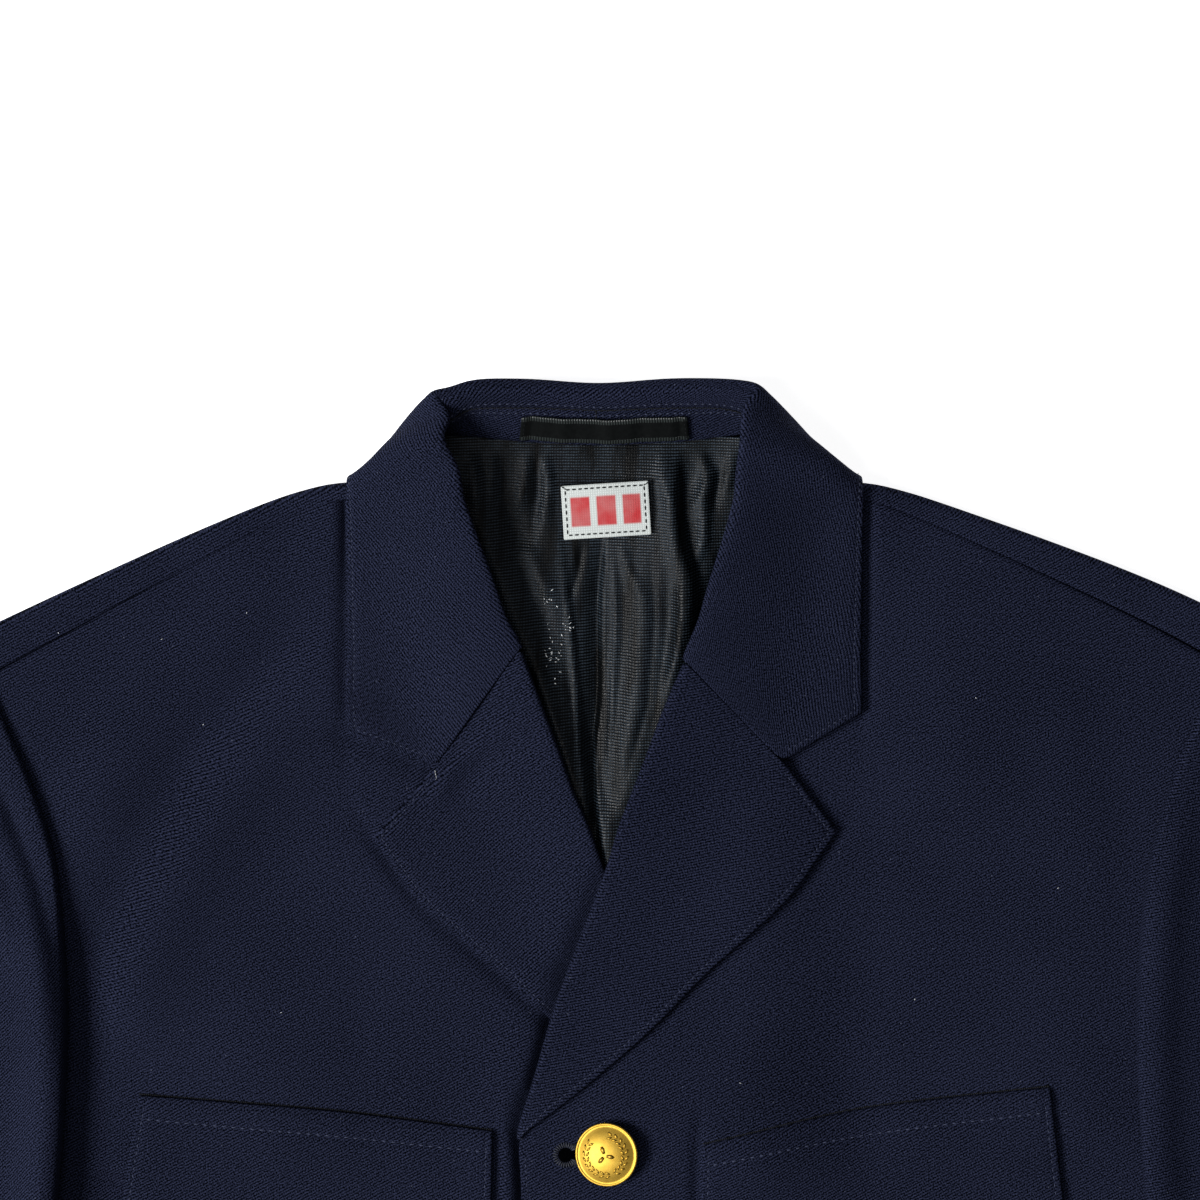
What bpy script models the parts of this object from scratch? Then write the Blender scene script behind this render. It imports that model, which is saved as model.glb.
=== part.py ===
"""Military dress tunic, laid flat on its back.

Blender 4.5, metres, +Z up. The tables and sizes below are in millimetres, in the garment's own layout: x runs
to the wearer's left, y up the garment from the fold of the collar at centre back, z up from the surface it
lies on. Each piece of cloth is an open surface over a grid, given its wall by Solidify. Every layer takes its
height from the same few height functions, so the layers keep their gaps wherever the garment rises.
"""

import bisect
import math

import bmesh
import bpy
from mathutils import Vector

COLLECTION = "military_dress_tunic"
LEFT, RIGHT = 1, -1
SIDES = ((LEFT, "left"), (RIGHT, "right"))

# --- walls and gaps ---
BACK_WALL = 2.0
FRONT_WALL = 2.2
LAPEL_WALL = 2.4
COLLAR_WALL = 2.2
STAND_WALL = 2.0
SLEEVE_WALL = 2.0
FLAP_WALL = 2.2
LINING_WALL = 1.2
RIBBON_WALL = 1.0
LABEL_WALL = 0.8
SEAM = 0.4
LAYER_GAP = 0.9
LINING_GAP = 0.8
BODY_GAP = 2.6
SLEEVE_GAP = 2.8
LABEL_GAP = 1.0
GORGE_GAP = 0.9
# room the roll of the lapel leaves for the edge of the front inside it
ROLL_GAP = 0.7

# --- resting heights of the middle of each wall ---
BACK_MIDDLE = BACK_WALL / 2
LINING_MIDDLE = BACK_WALL + LINING_GAP + LINING_WALL / 2
FRONT_MIDDLE = BACK_WALL + BODY_GAP + FRONT_WALL / 2
LAPEL_OVER_FRONT = FRONT_WALL / 2 + LAYER_GAP + LAPEL_WALL / 2
FLAP_OVER_FRONT = FRONT_WALL / 2 + LAYER_GAP + FLAP_WALL / 2
SLEEVE_SUPPORT = FRONT_MIDDLE + FRONT_WALL / 2 + LAYER_GAP
SLEEVE_UNDER_MIDDLE = SLEEVE_WALL / 2
SLEEVE_TOP_MIDDLE = SLEEVE_WALL * 1.5 + SLEEVE_GAP
COLLAR_LIFT = 3.8
# how far the upper front climbs: over the lower front, and over its lapel besides
LAP_LIFT = 3.6
LAPEL_LIFT = 4.2
# share of that lift which the top of the sleeve takes, and at the head of the sleeve
SLEEVE_REST = 0.9
SLEEVE_HEAD_REST = 0.45

# --- overall sizes ---
BACK_HEM = -742.0
FRONT_HEM = -745.0
TOP_OF_FOLD = 3.0
BUTTON_LINE = 2.5
FRONT_EDGE = 34.0
BREAK = -281.0
BUTTON_TOP = -289.0
BUTTON_STEP = 95.0
BUTTON_COUNT = 4
BUTTON_RADIUS = 12.0

# y, reach of the fold of collar and lapel outwards on the wearer's left, and on the right
ROLL_LINE = (
    (-281.0, -32.1, -37.1),
    (-261.0, -25.7, -30.7),
    (-232.5, -17.4, -22.4),
    (-180.5, 2.0, -0.4),
    (-166.0, 6.3, 4.8),
    (-153.0, 11.3, 10.6),
    (-139.5, 16.6, 15.3),
    (-124.0, 22.3, 21.2),
    (-104.0, 30.8, 28.6),
    (-92.0, 34.6, 33.0),
    (-78.0, 38.6, 39.0),
    (-54.0, 46.4, 47.5),
    (-31.0, 51.7, 54.9),
    (-10.0, 54.3, 58.7),
)

# y, how far the fold stands above the resting layers
ROLL_HEIGHT = (
    (-281.0, 0.0),
    (-240.0, 1.5),
    (-181.0, 3.5),
    (-140.0, 6.0),
    (-104.0, 9.0),
    (-78.0, 12.0),
    (-54.0, 15.0),
    (-32.0, 17.0),
    (-10.0, 17.0),
)
ROLL_REACH = 45.0

# corners of collar and lapel: (x, y) on the left, (x, y) on the right, x outwards
CORNERS = {
    "gorge": ((31.2, -104.0), (30.8, -99.5)),
    "notch": ((67.5, -141.1), (62.6, -143.0)),
    "collar_point": ((97.7, -122.6), (95.8, -130.6)),
    "lapel_point": ((87.9, -167.5), (86.0, -169.8)),
}

# back half of the collar, from centre back outwards, as (x, y, z) for each line along it: neck seam, seam
# inside the fold, just inside the fold, fold, just outside it, middle of the leaf, edge of the leaf under the
# back
COLLAR_BACK = (
    ((0, -21.7, 9.4), (0, -8.7, 18), (0, -2.6, 21.8), (0, 0.4, 21.4), (0, 1.0, 17.5), (0, -14, 1.7),
     (0, -32, 1.1)),
    ((30, -20.2, 9.4), (29, -7.8, 18.4), (30, -2.2, 22.2), (30.3, 0.6, 21.8), (31, 1.2, 18), (34, -13.5, 1.8),
     (38, -33, 1.1)),
    ((54, -17.5, 10.4), (48, -8.5, 19.2), (53, -4.5, 23.6), (55.8, -2, 24), (59, -0.8, 22), (70, -14.5, 3.4),
     (70, -34, 1.1)),
    ((66.5, -20, 13), (58, -14, 20), (54.8, -11.5, 22.8), (53.6, -10.5, 24.5), (56, -9.5, 26.2),
     (79.5, -18.2, 14), (85, -34, 1.1)),
)
# the rest of it, down the side of the neck: y of the fold, width and y of the stand's seam, width of the
# turned band, middle of the leaf (x, y, z), edge of the leaf (x, y, z); a z of None lies on the layers below
COLLAR_SIDE = (
    (-21, 17.8, -27, 8.2, (84.5, -24, 20), (96.6, -31.4, 6.5)),
    (-28, 20.0, -33, 9.0, (83.5, -30, 20.5), (98.4, -34, 12.8)),
    (-38, 21.5, -42, 9.0, (80, -42, None), (98.6, -46, None)),
    (-60, 20.5, -61, 9.0, (77, -67, None), (98.4, -73, None)),
    (-83, 12.0, -85, 7.0, (72, -104, None), (98.2, -99, None)),
)
LEAF_TURN = 1.7
LEAF_OVER_FRONT = 3.0

# front neckline: y, distance outwards from the fold
NECKLINE = ((-107.0, 3.2), (-101.0, 7.2), (-85.0, 14.0), (-61.0, 22.0), (-42.0, 23.2), (-29.0, 21.8))

# shoulder edge from the neck outwards: x, y of the edge, depth of the back's strip on top of the shoulder
SHOULDER = (
    (74.0, -24.8, 5.2),
    (84.0, -33.4, 5.5),
    (92.0, -36.4, 5.6),
    (98.0, -35.6, 6.2),
    (106.0, -37.2, 7.0),
    (120.0, -41.0, 8.4),
    (150.0, -52.5, 11.2),
    (181.0, -65.5, 14.2),
    (210.0, -78.3, 16.6),
    (234.0, -89.5, 18.4),
)
# how much higher than that each shoulder point is laid
SHOULDER_UP = {LEFT: 4.5, RIGHT: -2.0}

# y, half width of the body: side seam, and above the underarm the armholes of front and back
SIDE_SEAM = ((-745.0, 280.0), (-600.0, 262.0), (-445.0, 247.0), (-360.0, 258.0), (-291.0, 272.0))
FRONT_ARMHOLE = ((-291.0, 272.0), (-274.0, 246.0), (-240.0, 224.0), (-190.0, 213.0), (-150.0, 218.0))
FRONT_ARMHOLE += ((-107.5, 234.0),)
BACK_ARMHOLE = ((-291.0, 272.0), (-250.0, 236.5), (-200.0, 224.5), (-163.0, 224.5), (-128.0, 228.5))
BACK_ARMHOLE += ((-92.6, 234.0),)

# rows of the fronts: y at the inner edge, y at the outer edge
FRONT_ROWS = (
    (-30.2, -107.5),
    (-36.0, -116.0),
    (-48.0, -128.0),
    (-62.0, -141.0),
    (-76.0, -154.0),
    (-90.0, -167.0),
    (-103.0, -180.0),
    (-118.0, -193.0),
    (-138.0, -208.0),
    (-160.0, -224.0),
    (-181.0, -240.0),
    (-206.0, -257.0),
    (-232.0, -274.0),
    (-258.0, -291.0),
    (-279.8, -307.0),
    (-283.0, -310.0),
    (-302.0, -326.0),
    (-345.0, -362.0),
    (-410.0, -420.0),
    (-490.0, -495.0),
    (-575.0, -577.0),
    (-660.0, -661.0),
    (-745.0, -745.0),
)
# y of the back's rows at its outer edge
BACK_ROWS = (-92.6, -110.0, -128.0, -163.0, -200.0, -225.0, -250.0, -270.0, -291.0, -326.0, -362.0, -445.0)
BACK_ROWS += (-530.0, -640.0, BACK_HEM)

# rows of the lapels, from the gorge to the break: y at the fold, (x, y) of the outer edge on the left
LAPEL_ROWS = (
    (-104.4, (87.9, -167.5)),
    (-118.0, (79.0, -180.0)),
    (-138.0, (69.4, -192.8)),
    (-160.0, (52.5, -208.5)),
    (-181.0, (38.0, -221.5)),
    (-206.0, (20.0, -240.0)),
    (-232.0, (2.0, -256.0)),
    (-258.0, (-14.5, -269.5)),
    (-278.5, (-26.0, -278.6)),
)

# outlines of the sleeve seen from above, shoulder to cuff: inner edge x, y, outer edge x, y
SLEEVE = (
    (236.5, -94.5, 241.5, -93.0),
    (229.0, -118.0, 265.5, -107.0),
    (216.0, -149.0, 301.0, -137.0),
    (207.0, -178.0, 333.0, -180.0),
    (203.3, -212.0, 360.0, -238.0),
    (202.2, -250.0, 376.5, -292.0),
    (205.5, -307.0, 386.5, -345.0),
    (213.0, -370.0, 391.0, -400.0),
    (221.0, -440.0, 392.5, -462.0),
    (229.0, -520.0, 391.0, -535.0),
    (236.5, -600.0, 388.0, -610.0),
    (242.5, -660.0, 385.5, -668.0),
    (246.0, -702.0, 383.5, -711.0),
)
# where the turned under half of the top sleeve ends, at the same stations as far as the underarm: x, y
CAP_UNDER = ((238.5, -96.0), (231.5, -128.0), (228.0, -163.0), (228.0, -204.0), (242.5, -250.0))
CAP_UNDER += ((276.0, -293.0),)
SEAM_INSET = 9.0

# y, half width of the lining where it shows in the neck
LINING_ROWS = ((-18.5, 60.0), (-30.0, 66.0), (-46.0, 62.0), (-62.0, 57.0), (-80.0, 51.0), (-100.0, 44.0))
LINING_ROWS += ((-120.0, 38.0), (-140.0, 32.0), (-160.0, 26.0), (-180.0, 20.0), (-196.0, 16.0))
PLEAT_HEIGHT = 1.6
PLEAT_WIDTH = 3.0

# chest flap corners: (x, y) on the left, (x, y) on the right, x outwards
FLAPS = {
    "inner_top": ((37.9, -285.3), (41.4, -280.6)),
    "middle_top": ((99.0, -272.2), (103.0, -273.0)),
    "outer_top": ((168.7, -264.2), (174.5, -267.2)),
    "inner_bottom": ((37.0, -336.0), (42.4, -333.0)),
    "outer_bottom": ((175.5, -322.0), (183.5, -324.0)),
}

LOOP_ENDS = (-31.0, 33.4)
LOOP_ROWS = (0.14, 0.45, 0.78)
LOOP_SLACK = 0.5
LABEL_CENTRE = (1.5, -46.6)
LABEL_SIZE = (33.0, 20.4)
LABEL_TILT = math.radians(3.5)

NAVY = (0.0103, 0.0123, 0.0273, 1.0)
BLACK_SATIN = (0.012, 0.014, 0.015, 1.0)
WHITE_WOVEN = (0.55, 0.52, 0.50, 1.0)
BRASS = (0.75, 0.48, 0.13, 1.0)


# --- numbers ---


def smooth(start, end, value):
    """0 at start, 1 at end, with level ends; start may be the larger one."""
    t = min(max((value - start) / (end - start), 0.0), 1.0)
    return t * t * (3 - 2 * t)


def lookup(table, key, column=1):
    """Value of a column at key, straight between the rows of a table sorted by its first column."""
    keys = [row[0] for row in table]
    key = min(max(key, keys[0]), keys[-1])
    i = min(max(bisect.bisect_right(keys, key) - 1, 0), len(keys) - 2)
    share = (key - keys[i]) / (keys[i + 1] - keys[i])
    return table[i][column] * (1 - share) + table[i + 1][column] * share


def spline(points):
    """Smooth curve through the points, as a function of the station number."""
    points = [Vector(p) for p in points]

    def at(station):
        i = min(int(station), len(points) - 2)
        t = station - i
        p1, p2 = points[i], points[i + 1]
        p0 = points[i - 1] if i else p1 * 2 - p2
        p3 = points[i + 2] if i + 2 < len(points) else p2 * 2 - p1
        linear, square = (p2 - p0) * t, (p0 * 2 - p1 * 5 + p2 * 4 - p3) * t**2
        return (p1 * 2 + linear + square + (p1 * 3 - p0 - p2 * 3 + p3) * t**3) / 2

    return at


def steps(count, start=0.0, end=1.0):
    return [start + (end - start) * i / count for i in range(count + 1)]


def corner(name, side):
    x, y = CORNERS[name][0 if side == LEFT else 1]
    return Vector((x, y))


# --- heights shared by the layers; x here is signed, and side tells which front is meant ---


def neck_lift(x, y):
    """The back of the collar leaf lies under the neck of the garment and lifts it."""
    return COLLAR_LIFT * smooth(124, 96, abs(x)) * smooth(-92, -36, y)


def fold_reach(y, side):
    """Distance of the fold from the middle, outwards on that side."""
    return lookup(ROLL_LINE, y, 1 if side == LEFT else 2)


def rise(x, y, side):
    """How much the fold of collar and lapel lifts the layers near it."""
    t = min(max((side * x - fold_reach(y, side)) / ROLL_REACH, 0.0), 1.0)
    return lookup(ROLL_HEIGHT, y) * (1 - t) ** 2 * (1 + t)


def overlap(x, y, side):
    """The left front climbs over the right one and, above the break, over its lapel."""
    if side == RIGHT:
        return 0.0
    height = LAP_LIFT + LAPEL_LIFT * smooth(-316, -290, y)
    return height * smooth(104, 50, x) * smooth(-100, -176, y)


def front_height(x, y, side):
    return FRONT_MIDDLE + neck_lift(x, y) + rise(x, y, side) + overlap(x, y, side)


def support(x, y):
    """1 where the sleeve lies on the body, 0 where it lies beside it."""
    return smooth(52, 14, abs(x) - lookup(SIDE_SEAM, y))


def sleeve_height(x, y):
    rest = SLEEVE_HEAD_REST + (1 - SLEEVE_HEAD_REST) * smooth(-100, -205, y)
    return SLEEVE_TOP_MIDDLE + SLEEVE_SUPPORT * SLEEVE_REST * support(x, y) * rest


def lining_height(x, y):
    pleat = math.exp(-(((x + 2.0) / PLEAT_WIDTH) ** 2)) * smooth(-21, -32, y) * smooth(-196, -180, y)
    return LINING_MIDDLE + neck_lift(x, y) + PLEAT_HEIGHT * pleat


# --- making the pieces ---


def material(name, colour, roughness, metallic=0.0):
    made = bpy.data.materials.new(name)
    made.use_nodes = True
    shader = made.node_tree.nodes["Principled BSDF"]
    shader.inputs["Base Color"].default_value = colour
    shader.inputs["Roughness"].default_value = roughness
    shader.inputs["Metallic"].default_value = metallic
    return made


def in_world(point):
    """From the garment's layout in millimetres to the part's frame in metres, the shoulders laid askew."""
    x, y, z = point
    middle = -(TOP_OF_FOLD + FRONT_HEM) / 2
    askew = SHOULDER_UP[LEFT if x > 0 else RIGHT] * smooth(110, 226, abs(x)) * smooth(-190, -90, y)
    return Vector((x, y + middle + askew, z)) / 1000


def add_object(name, mesh, finish):
    made = bpy.data.objects.new(name, mesh)
    made.data.materials.append(finish)
    bpy.data.collections[COLLECTION].objects.link(made)
    return made


def cloth(name, place, across, down, wall, finish, keep=None):
    """A grid, a column for each value of across and a row for each of down, at place(u, v), with a wall."""
    bm = bmesh.new()
    bmesh.ops.create_grid(bm, x_segments=len(across) - 1, y_segments=len(down) - 1, size=0.5)
    column = {v: round((v.co.x + 0.5) * (len(across) - 1)) for v in bm.verts}
    row = {v: round((v.co.y + 0.5) * (len(down) - 1)) for v in bm.verts}
    for v in bm.verts:
        v.co = in_world(place(across[column[v]], down[row[v]]))
    if keep:
        cut = [f for f in bm.faces if not all(keep(across[column[v]], down[row[v]]) for v in f.verts)]
        bmesh.ops.delete(bm, geom=cut, context="FACES")
    mesh = bpy.data.meshes.new(name)
    bm.to_mesh(mesh)
    bm.free()
    mesh.shade_smooth()
    made = add_object(name, mesh, finish)
    wall_modifier = made.modifiers.new("wall", "SOLIDIFY")
    wall_modifier.thickness = wall / 1000
    wall_modifier.offset = 0
    return made


# --- back ---

SHOULDER_TURN = 2.15
TURN_STEPS = 3
STRIP_STEPS = 2


def shoulder_seam(x):
    return lookup(SHOULDER, abs(x)) - lookup(SHOULDER, abs(x), 2)


def back_half_width(y):
    return lookup(BACK_ARMHOLE if y > BACK_ARMHOLE[0][0] else SIDE_SEAM, y)


def build_back(finish):
    """One piece from hem to neck, with a strip that turns over each shoulder to the seam on top."""
    neck_point, shoulder_point = SHOULDER[0][0], SHOULDER[-1][0]
    stations = [row[0] for row in SHOULDER]
    neck_columns = (-54.0, -30.0, 0.0, 30.0, 54.0)
    neckline = ((0.0, -21.7), (30.0, -20.2), (54.0, -18.0), (neck_point, -27.95))
    columns = [-x for x in reversed(stations)] + list(neck_columns) + stations
    strip = [-float(i) for i in range(TURN_STEPS + STRIP_STEPS, 0, -1)]

    def top(x):
        if abs(x) < neck_point:
            return lookup(neckline, abs(x))
        return lookup(SHOULDER, abs(x)) - BACK_WALL / 2 - SHOULDER_TURN

    def at(x, v):
        if v >= 0:
            outer_y = BACK_ROWS[int(v)]
            left_over = (1 - v / (len(BACK_ROWS) - 1)) ** 2
            y = outer_y + (top(x) - top(shoulder_point)) * left_over
            spread = x / shoulder_point * back_half_width(outer_y)
            return (spread, y, BACK_MIDDLE + neck_lift(spread, y))
        side = LEFT if x > 0 else RIGHT
        seam = shoulder_seam(x) + SEAM / 2
        turned = min(-v / TURN_STEPS, 1) * math.pi
        y = top(x) + SHOULDER_TURN * math.sin(turned)
        y += (seam - top(x)) * max(-v - TURN_STEPS, 0) / STRIP_STEPS
        low = BACK_MIDDLE + neck_lift(x, y)
        high = front_height(x, y, side)
        return (x, y, low + (high - low) * (1 - math.cos(turned)) / 2)

    def keep(x, v):
        return v >= 0 or abs(x) >= neck_point

    rows = strip + [float(i) for i in range(len(BACK_ROWS))]
    cloth("back", at, columns, rows, BACK_WALL, finish, keep)


# --- fronts ---

# the side edges of the fronts turn down towards the back
SIDE_TURN = 2.2
SIDE_DROP = 0.7
SIDE_STEPS = 3
# columns of the fronts between those that the shoulder's rows give, as shares of their width
EXTRA_COLUMNS = (0.24, 0.34, 0.39, 0.43, 0.57, 0.76)
LAPEL_TURN = LAPEL_OVER_FRONT / 2


def front_inner(y, side):
    """Inner edge of a front, outwards from the middle: neckline, fold of the lapel, then the front edge."""
    if y > NECKLINE[0][0]:
        return fold_reach(y, LEFT) + lookup(NECKLINE, y)
    if y > BREAK:
        return fold_reach(y, side) + LAPEL_TURN + ROLL_GAP
    return -FRONT_EDGE + side * BUTTON_LINE


def front_outer(y):
    return lookup(FRONT_ARMHOLE if y > FRONT_ARMHOLE[0][0] else SIDE_SEAM, y)


def front_point_x(u):
    """Distance outwards along the shoulder seam."""
    return SHOULDER[0][0] + (SHOULDER[-1][0] - SHOULDER[0][0]) * u


def front_point(u, v, side):
    """Point of a front in plan, u from the inner to the outer edge and v a row number."""
    inner_y, outer_y = FRONT_ROWS[int(v)]
    inner = Vector((front_inner(inner_y, side), inner_y))
    outer = Vector((front_outer(outer_y) - SIDE_TURN, outer_y))
    point = inner.lerp(outer, u)
    straight = FRONT_ROWS[0][0] * (1 - u) + FRONT_ROWS[0][1] * u
    point.y += (shoulder_seam(front_point_x(u)) - SEAM / 2 - straight) * smooth(5, 0, v)
    return point


def build_front(side, name, finish):
    def at(u, v):
        point = front_point(min(u, 1.0), v, side)
        x, z = point.x, front_height(side * point.x, point.y, side)
        if u > 1:
            step = u - 1
            turned = min(step / (SIDE_STEPS - 1), 1) * math.pi / 2
            closed = smooth(-296, -322, point.y)
            x += SIDE_TURN * (math.sin(turned) * closed + step / SIDE_STEPS * (1 - closed))
            drop = SIDE_DROP * max(step - SIDE_STEPS + 1, 0)
            z -= closed * (SIDE_TURN * (1 - math.cos(turned)) + drop)
        return (side * x, point.y, z)

    reach = SHOULDER[-1][0] - SHOULDER[0][0]
    columns = [(row[0] - SHOULDER[0][0]) / reach for row in SHOULDER]
    columns = sorted(columns + list(EXTRA_COLUMNS))
    columns += [1.0 + i for i in range(1, SIDE_STEPS + 1)]
    rows = [float(i) for i in range(len(FRONT_ROWS))]
    cloth(name, at, columns, rows, FRONT_WALL, finish)


def build_lapel(side, name, finish):
    """The turned front edge: from under the fold, round it, and out over the front to the edge."""
    gorge, notch, point = corner("gorge", side), corner("notch", side), corner("lapel_point", side)
    gorge_share = (notch - gorge).length / ((notch - gorge).length + (point - notch).length)
    last = len(LAPEL_ROWS) - 1
    shift = point - corner("lapel_point", LEFT)
    down = (notch - gorge).normalized()
    apart = Vector((down.y, -down.x)) * GORGE_GAP

    def flat(u, v):
        fold_y, edge = LAPEL_ROWS[int(v)]
        fold_y += (gorge.y - CORNERS["gorge"][0][1]) * smooth(3, 0, v)
        edge = Vector(edge) + shift * smooth(last, 0, v)
        if side == RIGHT:
            edge.x -= 2 * BUTTON_LINE * smooth(1, last, v)
        inner = Vector((fold_reach(fold_y, side) + LAPEL_TURN, fold_y))
        at_point = inner.lerp(edge, u)
        if u <= gorge_share:
            top = gorge.lerp(notch, u / gorge_share) + apart
        else:
            top = (notch + apart).lerp(point, (u - gorge_share) / (1 - gorge_share))
        bend = top - gorge.lerp(point, u)
        return at_point + bend * smooth(4, 0, v)

    def at(u, v):
        p = flat(max(u, 0.0), v)
        z = front_height(side * p.x, p.y, side)
        if u >= 0:
            return (side * p.x, p.y, z + LAPEL_OVER_FRONT)
        turned = -u * math.pi
        x = p.x - LAPEL_TURN * math.sin(turned)
        return (side * x, p.y, z + LAPEL_TURN * (1 + math.cos(turned)))

    turn = steps(4, -1.0, 0.0)[:-1]
    columns = turn + steps(5, 0.0, gorge_share)[:-1] + steps(3, gorge_share, 1.0)
    rows = [float(i) for i in range(last + 1)]
    cloth(name, at, columns, rows, LAPEL_WALL, finish)


# --- collar ---

SEAM_LINE, TURN, UNDER_FOLD, FOLD, OVER_FOLD, MIDDLE, EDGE = range(7)
# how far the lines beside the fold lie outwards from it, beyond its turn
FOLD_EASE = 0.6
# room under the leaf where it lies on the fronts: under its middle, and under its edge
LEAF_ROOM = {MIDDLE: 1.5, EDGE: 0.3}
# at the gorge: how far below it the fold ends, how far inside it the band, and where its two other lines lie
GORGE_DOWN = 1.0
BAND_INSIDE = 1.6
BAND_SEAM_OUT = 2.0
BAND_TURN_OUT = 0.7
STAND_ROWS = (0.0, 0.3, 0.6, 0.88)


def collar_stations(side):
    """For one half of the collar, the seven lines along it as lists of points, x outwards."""
    lines = [[row[i] for row in COLLAR_BACK] for i in range(7)]

    def resting(x, y, above):
        return (x, y, front_height(side * x, y, side) + above)

    for fold_y, stand_width, seam_y, turn_width, middle, edge in COLLAR_SIDE:
        fold_x = fold_reach(fold_y, side)
        near = fold_x + LEAF_TURN + FOLD_EASE
        level = front_height(side * near, fold_y, side)
        lines[SEAM_LINE].append(resting(fold_reach(seam_y, LEFT) + stand_width, seam_y, 0))
        lines[TURN].append(resting(fold_x + turn_width, fold_y - 1, 0))
        lines[UNDER_FOLD].append((near, fold_y, level))
        lines[FOLD].append((fold_x, fold_y, level + LEAF_TURN))
        lines[OVER_FOLD].append((near, fold_y, level + 2 * LEAF_TURN))
        for line, (x, y, z) in ((MIDDLE, middle), (EDGE, edge)):
            over = LEAF_OVER_FRONT + LEAF_ROOM[line]
            lines[line].append(resting(x, y, over) if z is None else (x, y, z))

    gorge, notch, point = (corner(name, side) for name in ("gorge", "notch", "collar_point"))
    down = (notch - gorge).normalized()
    near = gorge + down * (LEAF_TURN + GORGE_DOWN)
    inside = near + Vector((-down.y, down.x)) * BAND_INSIDE
    level = front_height(side * near.x, near.y, side)
    lines[SEAM_LINE].append((inside.x + BAND_SEAM_OUT, inside.y, level))
    lines[TURN].append((inside.x + BAND_TURN_OUT, inside.y, level))
    lines[UNDER_FOLD].append((inside.x, inside.y, level))
    lines[FOLD].append((gorge.x, gorge.y, level + LEAF_TURN))
    lines[OVER_FOLD].append((near.x, near.y, level + LEAF_OVER_FRONT))
    lines[MIDDLE].append(resting(notch.x, notch.y, LEAF_OVER_FRONT))
    lines[EDGE].append(resting(point.x, point.y, LEAF_OVER_FRONT))
    return lines


COLLAR_CURVES = {side: [spline(line) for line in collar_stations(side)] for side, _ in SIDES}
COLLAR_LAST = len(COLLAR_BACK) + len(COLLAR_SIDE)


def collar_line(line, station):
    """Point on a line of the collar; the station is negative on the wearer's right."""
    side = LEFT if station >= 0 else RIGHT
    x, y, z = COLLAR_CURVES[side][line](abs(station))
    return Vector((side * x, y, z))


def leaf_point(station, w):
    """w runs from the seam inside the fold, 0, over the fold, 2, to the edge, 5."""
    points = [collar_line(line, station) for line in range(TURN, EDGE + 1)]
    if COLLAR_LAST - abs(station) < 0.01 and w > 3:
        return points[3].lerp(points[4], w - 3) if w <= 4 else points[4].lerp(points[5], w - 4)
    point = spline(points)(w)
    point.z = max(point.z, COLLAR_WALL / 2)
    return point


def stand_point(station, w):
    """w runs from the neck seam, 0, to the seam inside the fold, 1."""
    return collar_line(SEAM_LINE, station).lerp(collar_line(TURN, station), w)


def build_collar(finish):
    half = steps(4, 0, 2) + [2.33, 2.67, 3.0] + steps(12, 3, 9)[1:]
    columns = [-s for s in reversed(half[1:])] + half
    across = [0, 1, 1.5, 2, 2.5, 3, 3.33, 3.67, 4, 4.5, 5]
    cloth("collar_leaf", leaf_point, columns, across, COLLAR_WALL, finish)
    stand_columns = [s for s in columns if abs(s) <= 8]
    cloth("collar_stand", stand_point, stand_columns, STAND_ROWS, STAND_WALL, finish)


def build_hanger_loop(finish):
    """A flat ribbon on the stand, its two ends folded under."""
    reach = COLLAR_BACK[1][SEAM_LINE][0]
    middle, half = sum(LOOP_ENDS) / 2, (LOOP_ENDS[1] - LOOP_ENDS[0]) / 2
    nudge = 0.01

    def at(x, w):
        station = x / reach
        on_stand = stand_point(station, w)
        ahead, up = stand_point(station + nudge, w), stand_point(station, w + nudge)
        normal = (ahead - on_stand).cross(up - on_stand).normalized()
        slack = LOOP_SLACK * (1 - ((x - middle) / half) ** 2)
        return on_stand + normal * (COLLAR_WALL / 2 + SEAM + RIBBON_WALL / 2 + slack)

    cloth("hanger_loop", at, steps(10, *LOOP_ENDS), LOOP_ROWS, RIBBON_WALL, finish)


# --- inside the neck ---


def build_lining(finish):
    def at(u, v):
        y, half = LINING_ROWS[int(v)]
        return (u * half, y, lining_height(u * half, y))

    columns = [-1, -0.7, -0.4, -0.2, -0.1, -0.04, 0.02, 0.1, 0.25, 0.45, 0.7, 1]
    cloth("lining", at, columns, [float(i) for i in range(len(LINING_ROWS))], LINING_WALL, finish)


def build_size_label(finish):
    def at(u, v):
        dx, dy = u * LABEL_SIZE[0] / 2, v * LABEL_SIZE[1] / 2
        x = LABEL_CENTRE[0] + dx * math.cos(LABEL_TILT) - dy * math.sin(LABEL_TILT)
        y = LABEL_CENTRE[1] + dy * math.cos(LABEL_TILT) + dx * math.sin(LABEL_TILT)
        return (x, y, lining_height(x, y) + LINING_WALL / 2 + LABEL_GAP)

    cloth("size_label", at, steps(8, -1, 1), steps(4, -1, 1), LABEL_WALL, finish)


# --- sleeves ---

CAP_ROWS = len(CAP_UNDER) - 1
# the inner fold stops short of the under sleeve, whose seam lies beside it
INNER_SHORT = 1.4
INNER_TURN = (SLEEVE_TOP_MIDDLE - SLEEVE_UNDER_MIDDLE - INNER_SHORT) / 2
OUTER_TURN = (SLEEVE_TOP_MIDDLE - SLEEVE_UNDER_MIDDLE) / 2
SLEEVE_INNER = spline([(x, y) for x, y, _, _ in SLEEVE])
SLEEVE_OUTER = spline([(x, y) for _, _, x, y in SLEEVE])
CAP_EDGE = spline(CAP_UNDER)
# top of the under sleeve, hollowed at the underarm, from the inner fold outwards: x, y
UNDER_TOP = ((204.6, -203.0), (221.0, -256.0), (245.0, -285.0), (275.5, -299.5), (326.0, -309.5))
UNDER_TOP += ((367.0, -318.5),)
UNDER_FIRST = 6.0
UNDER_INSET = SLEEVE_WALL / 2 + 0.6
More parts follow.
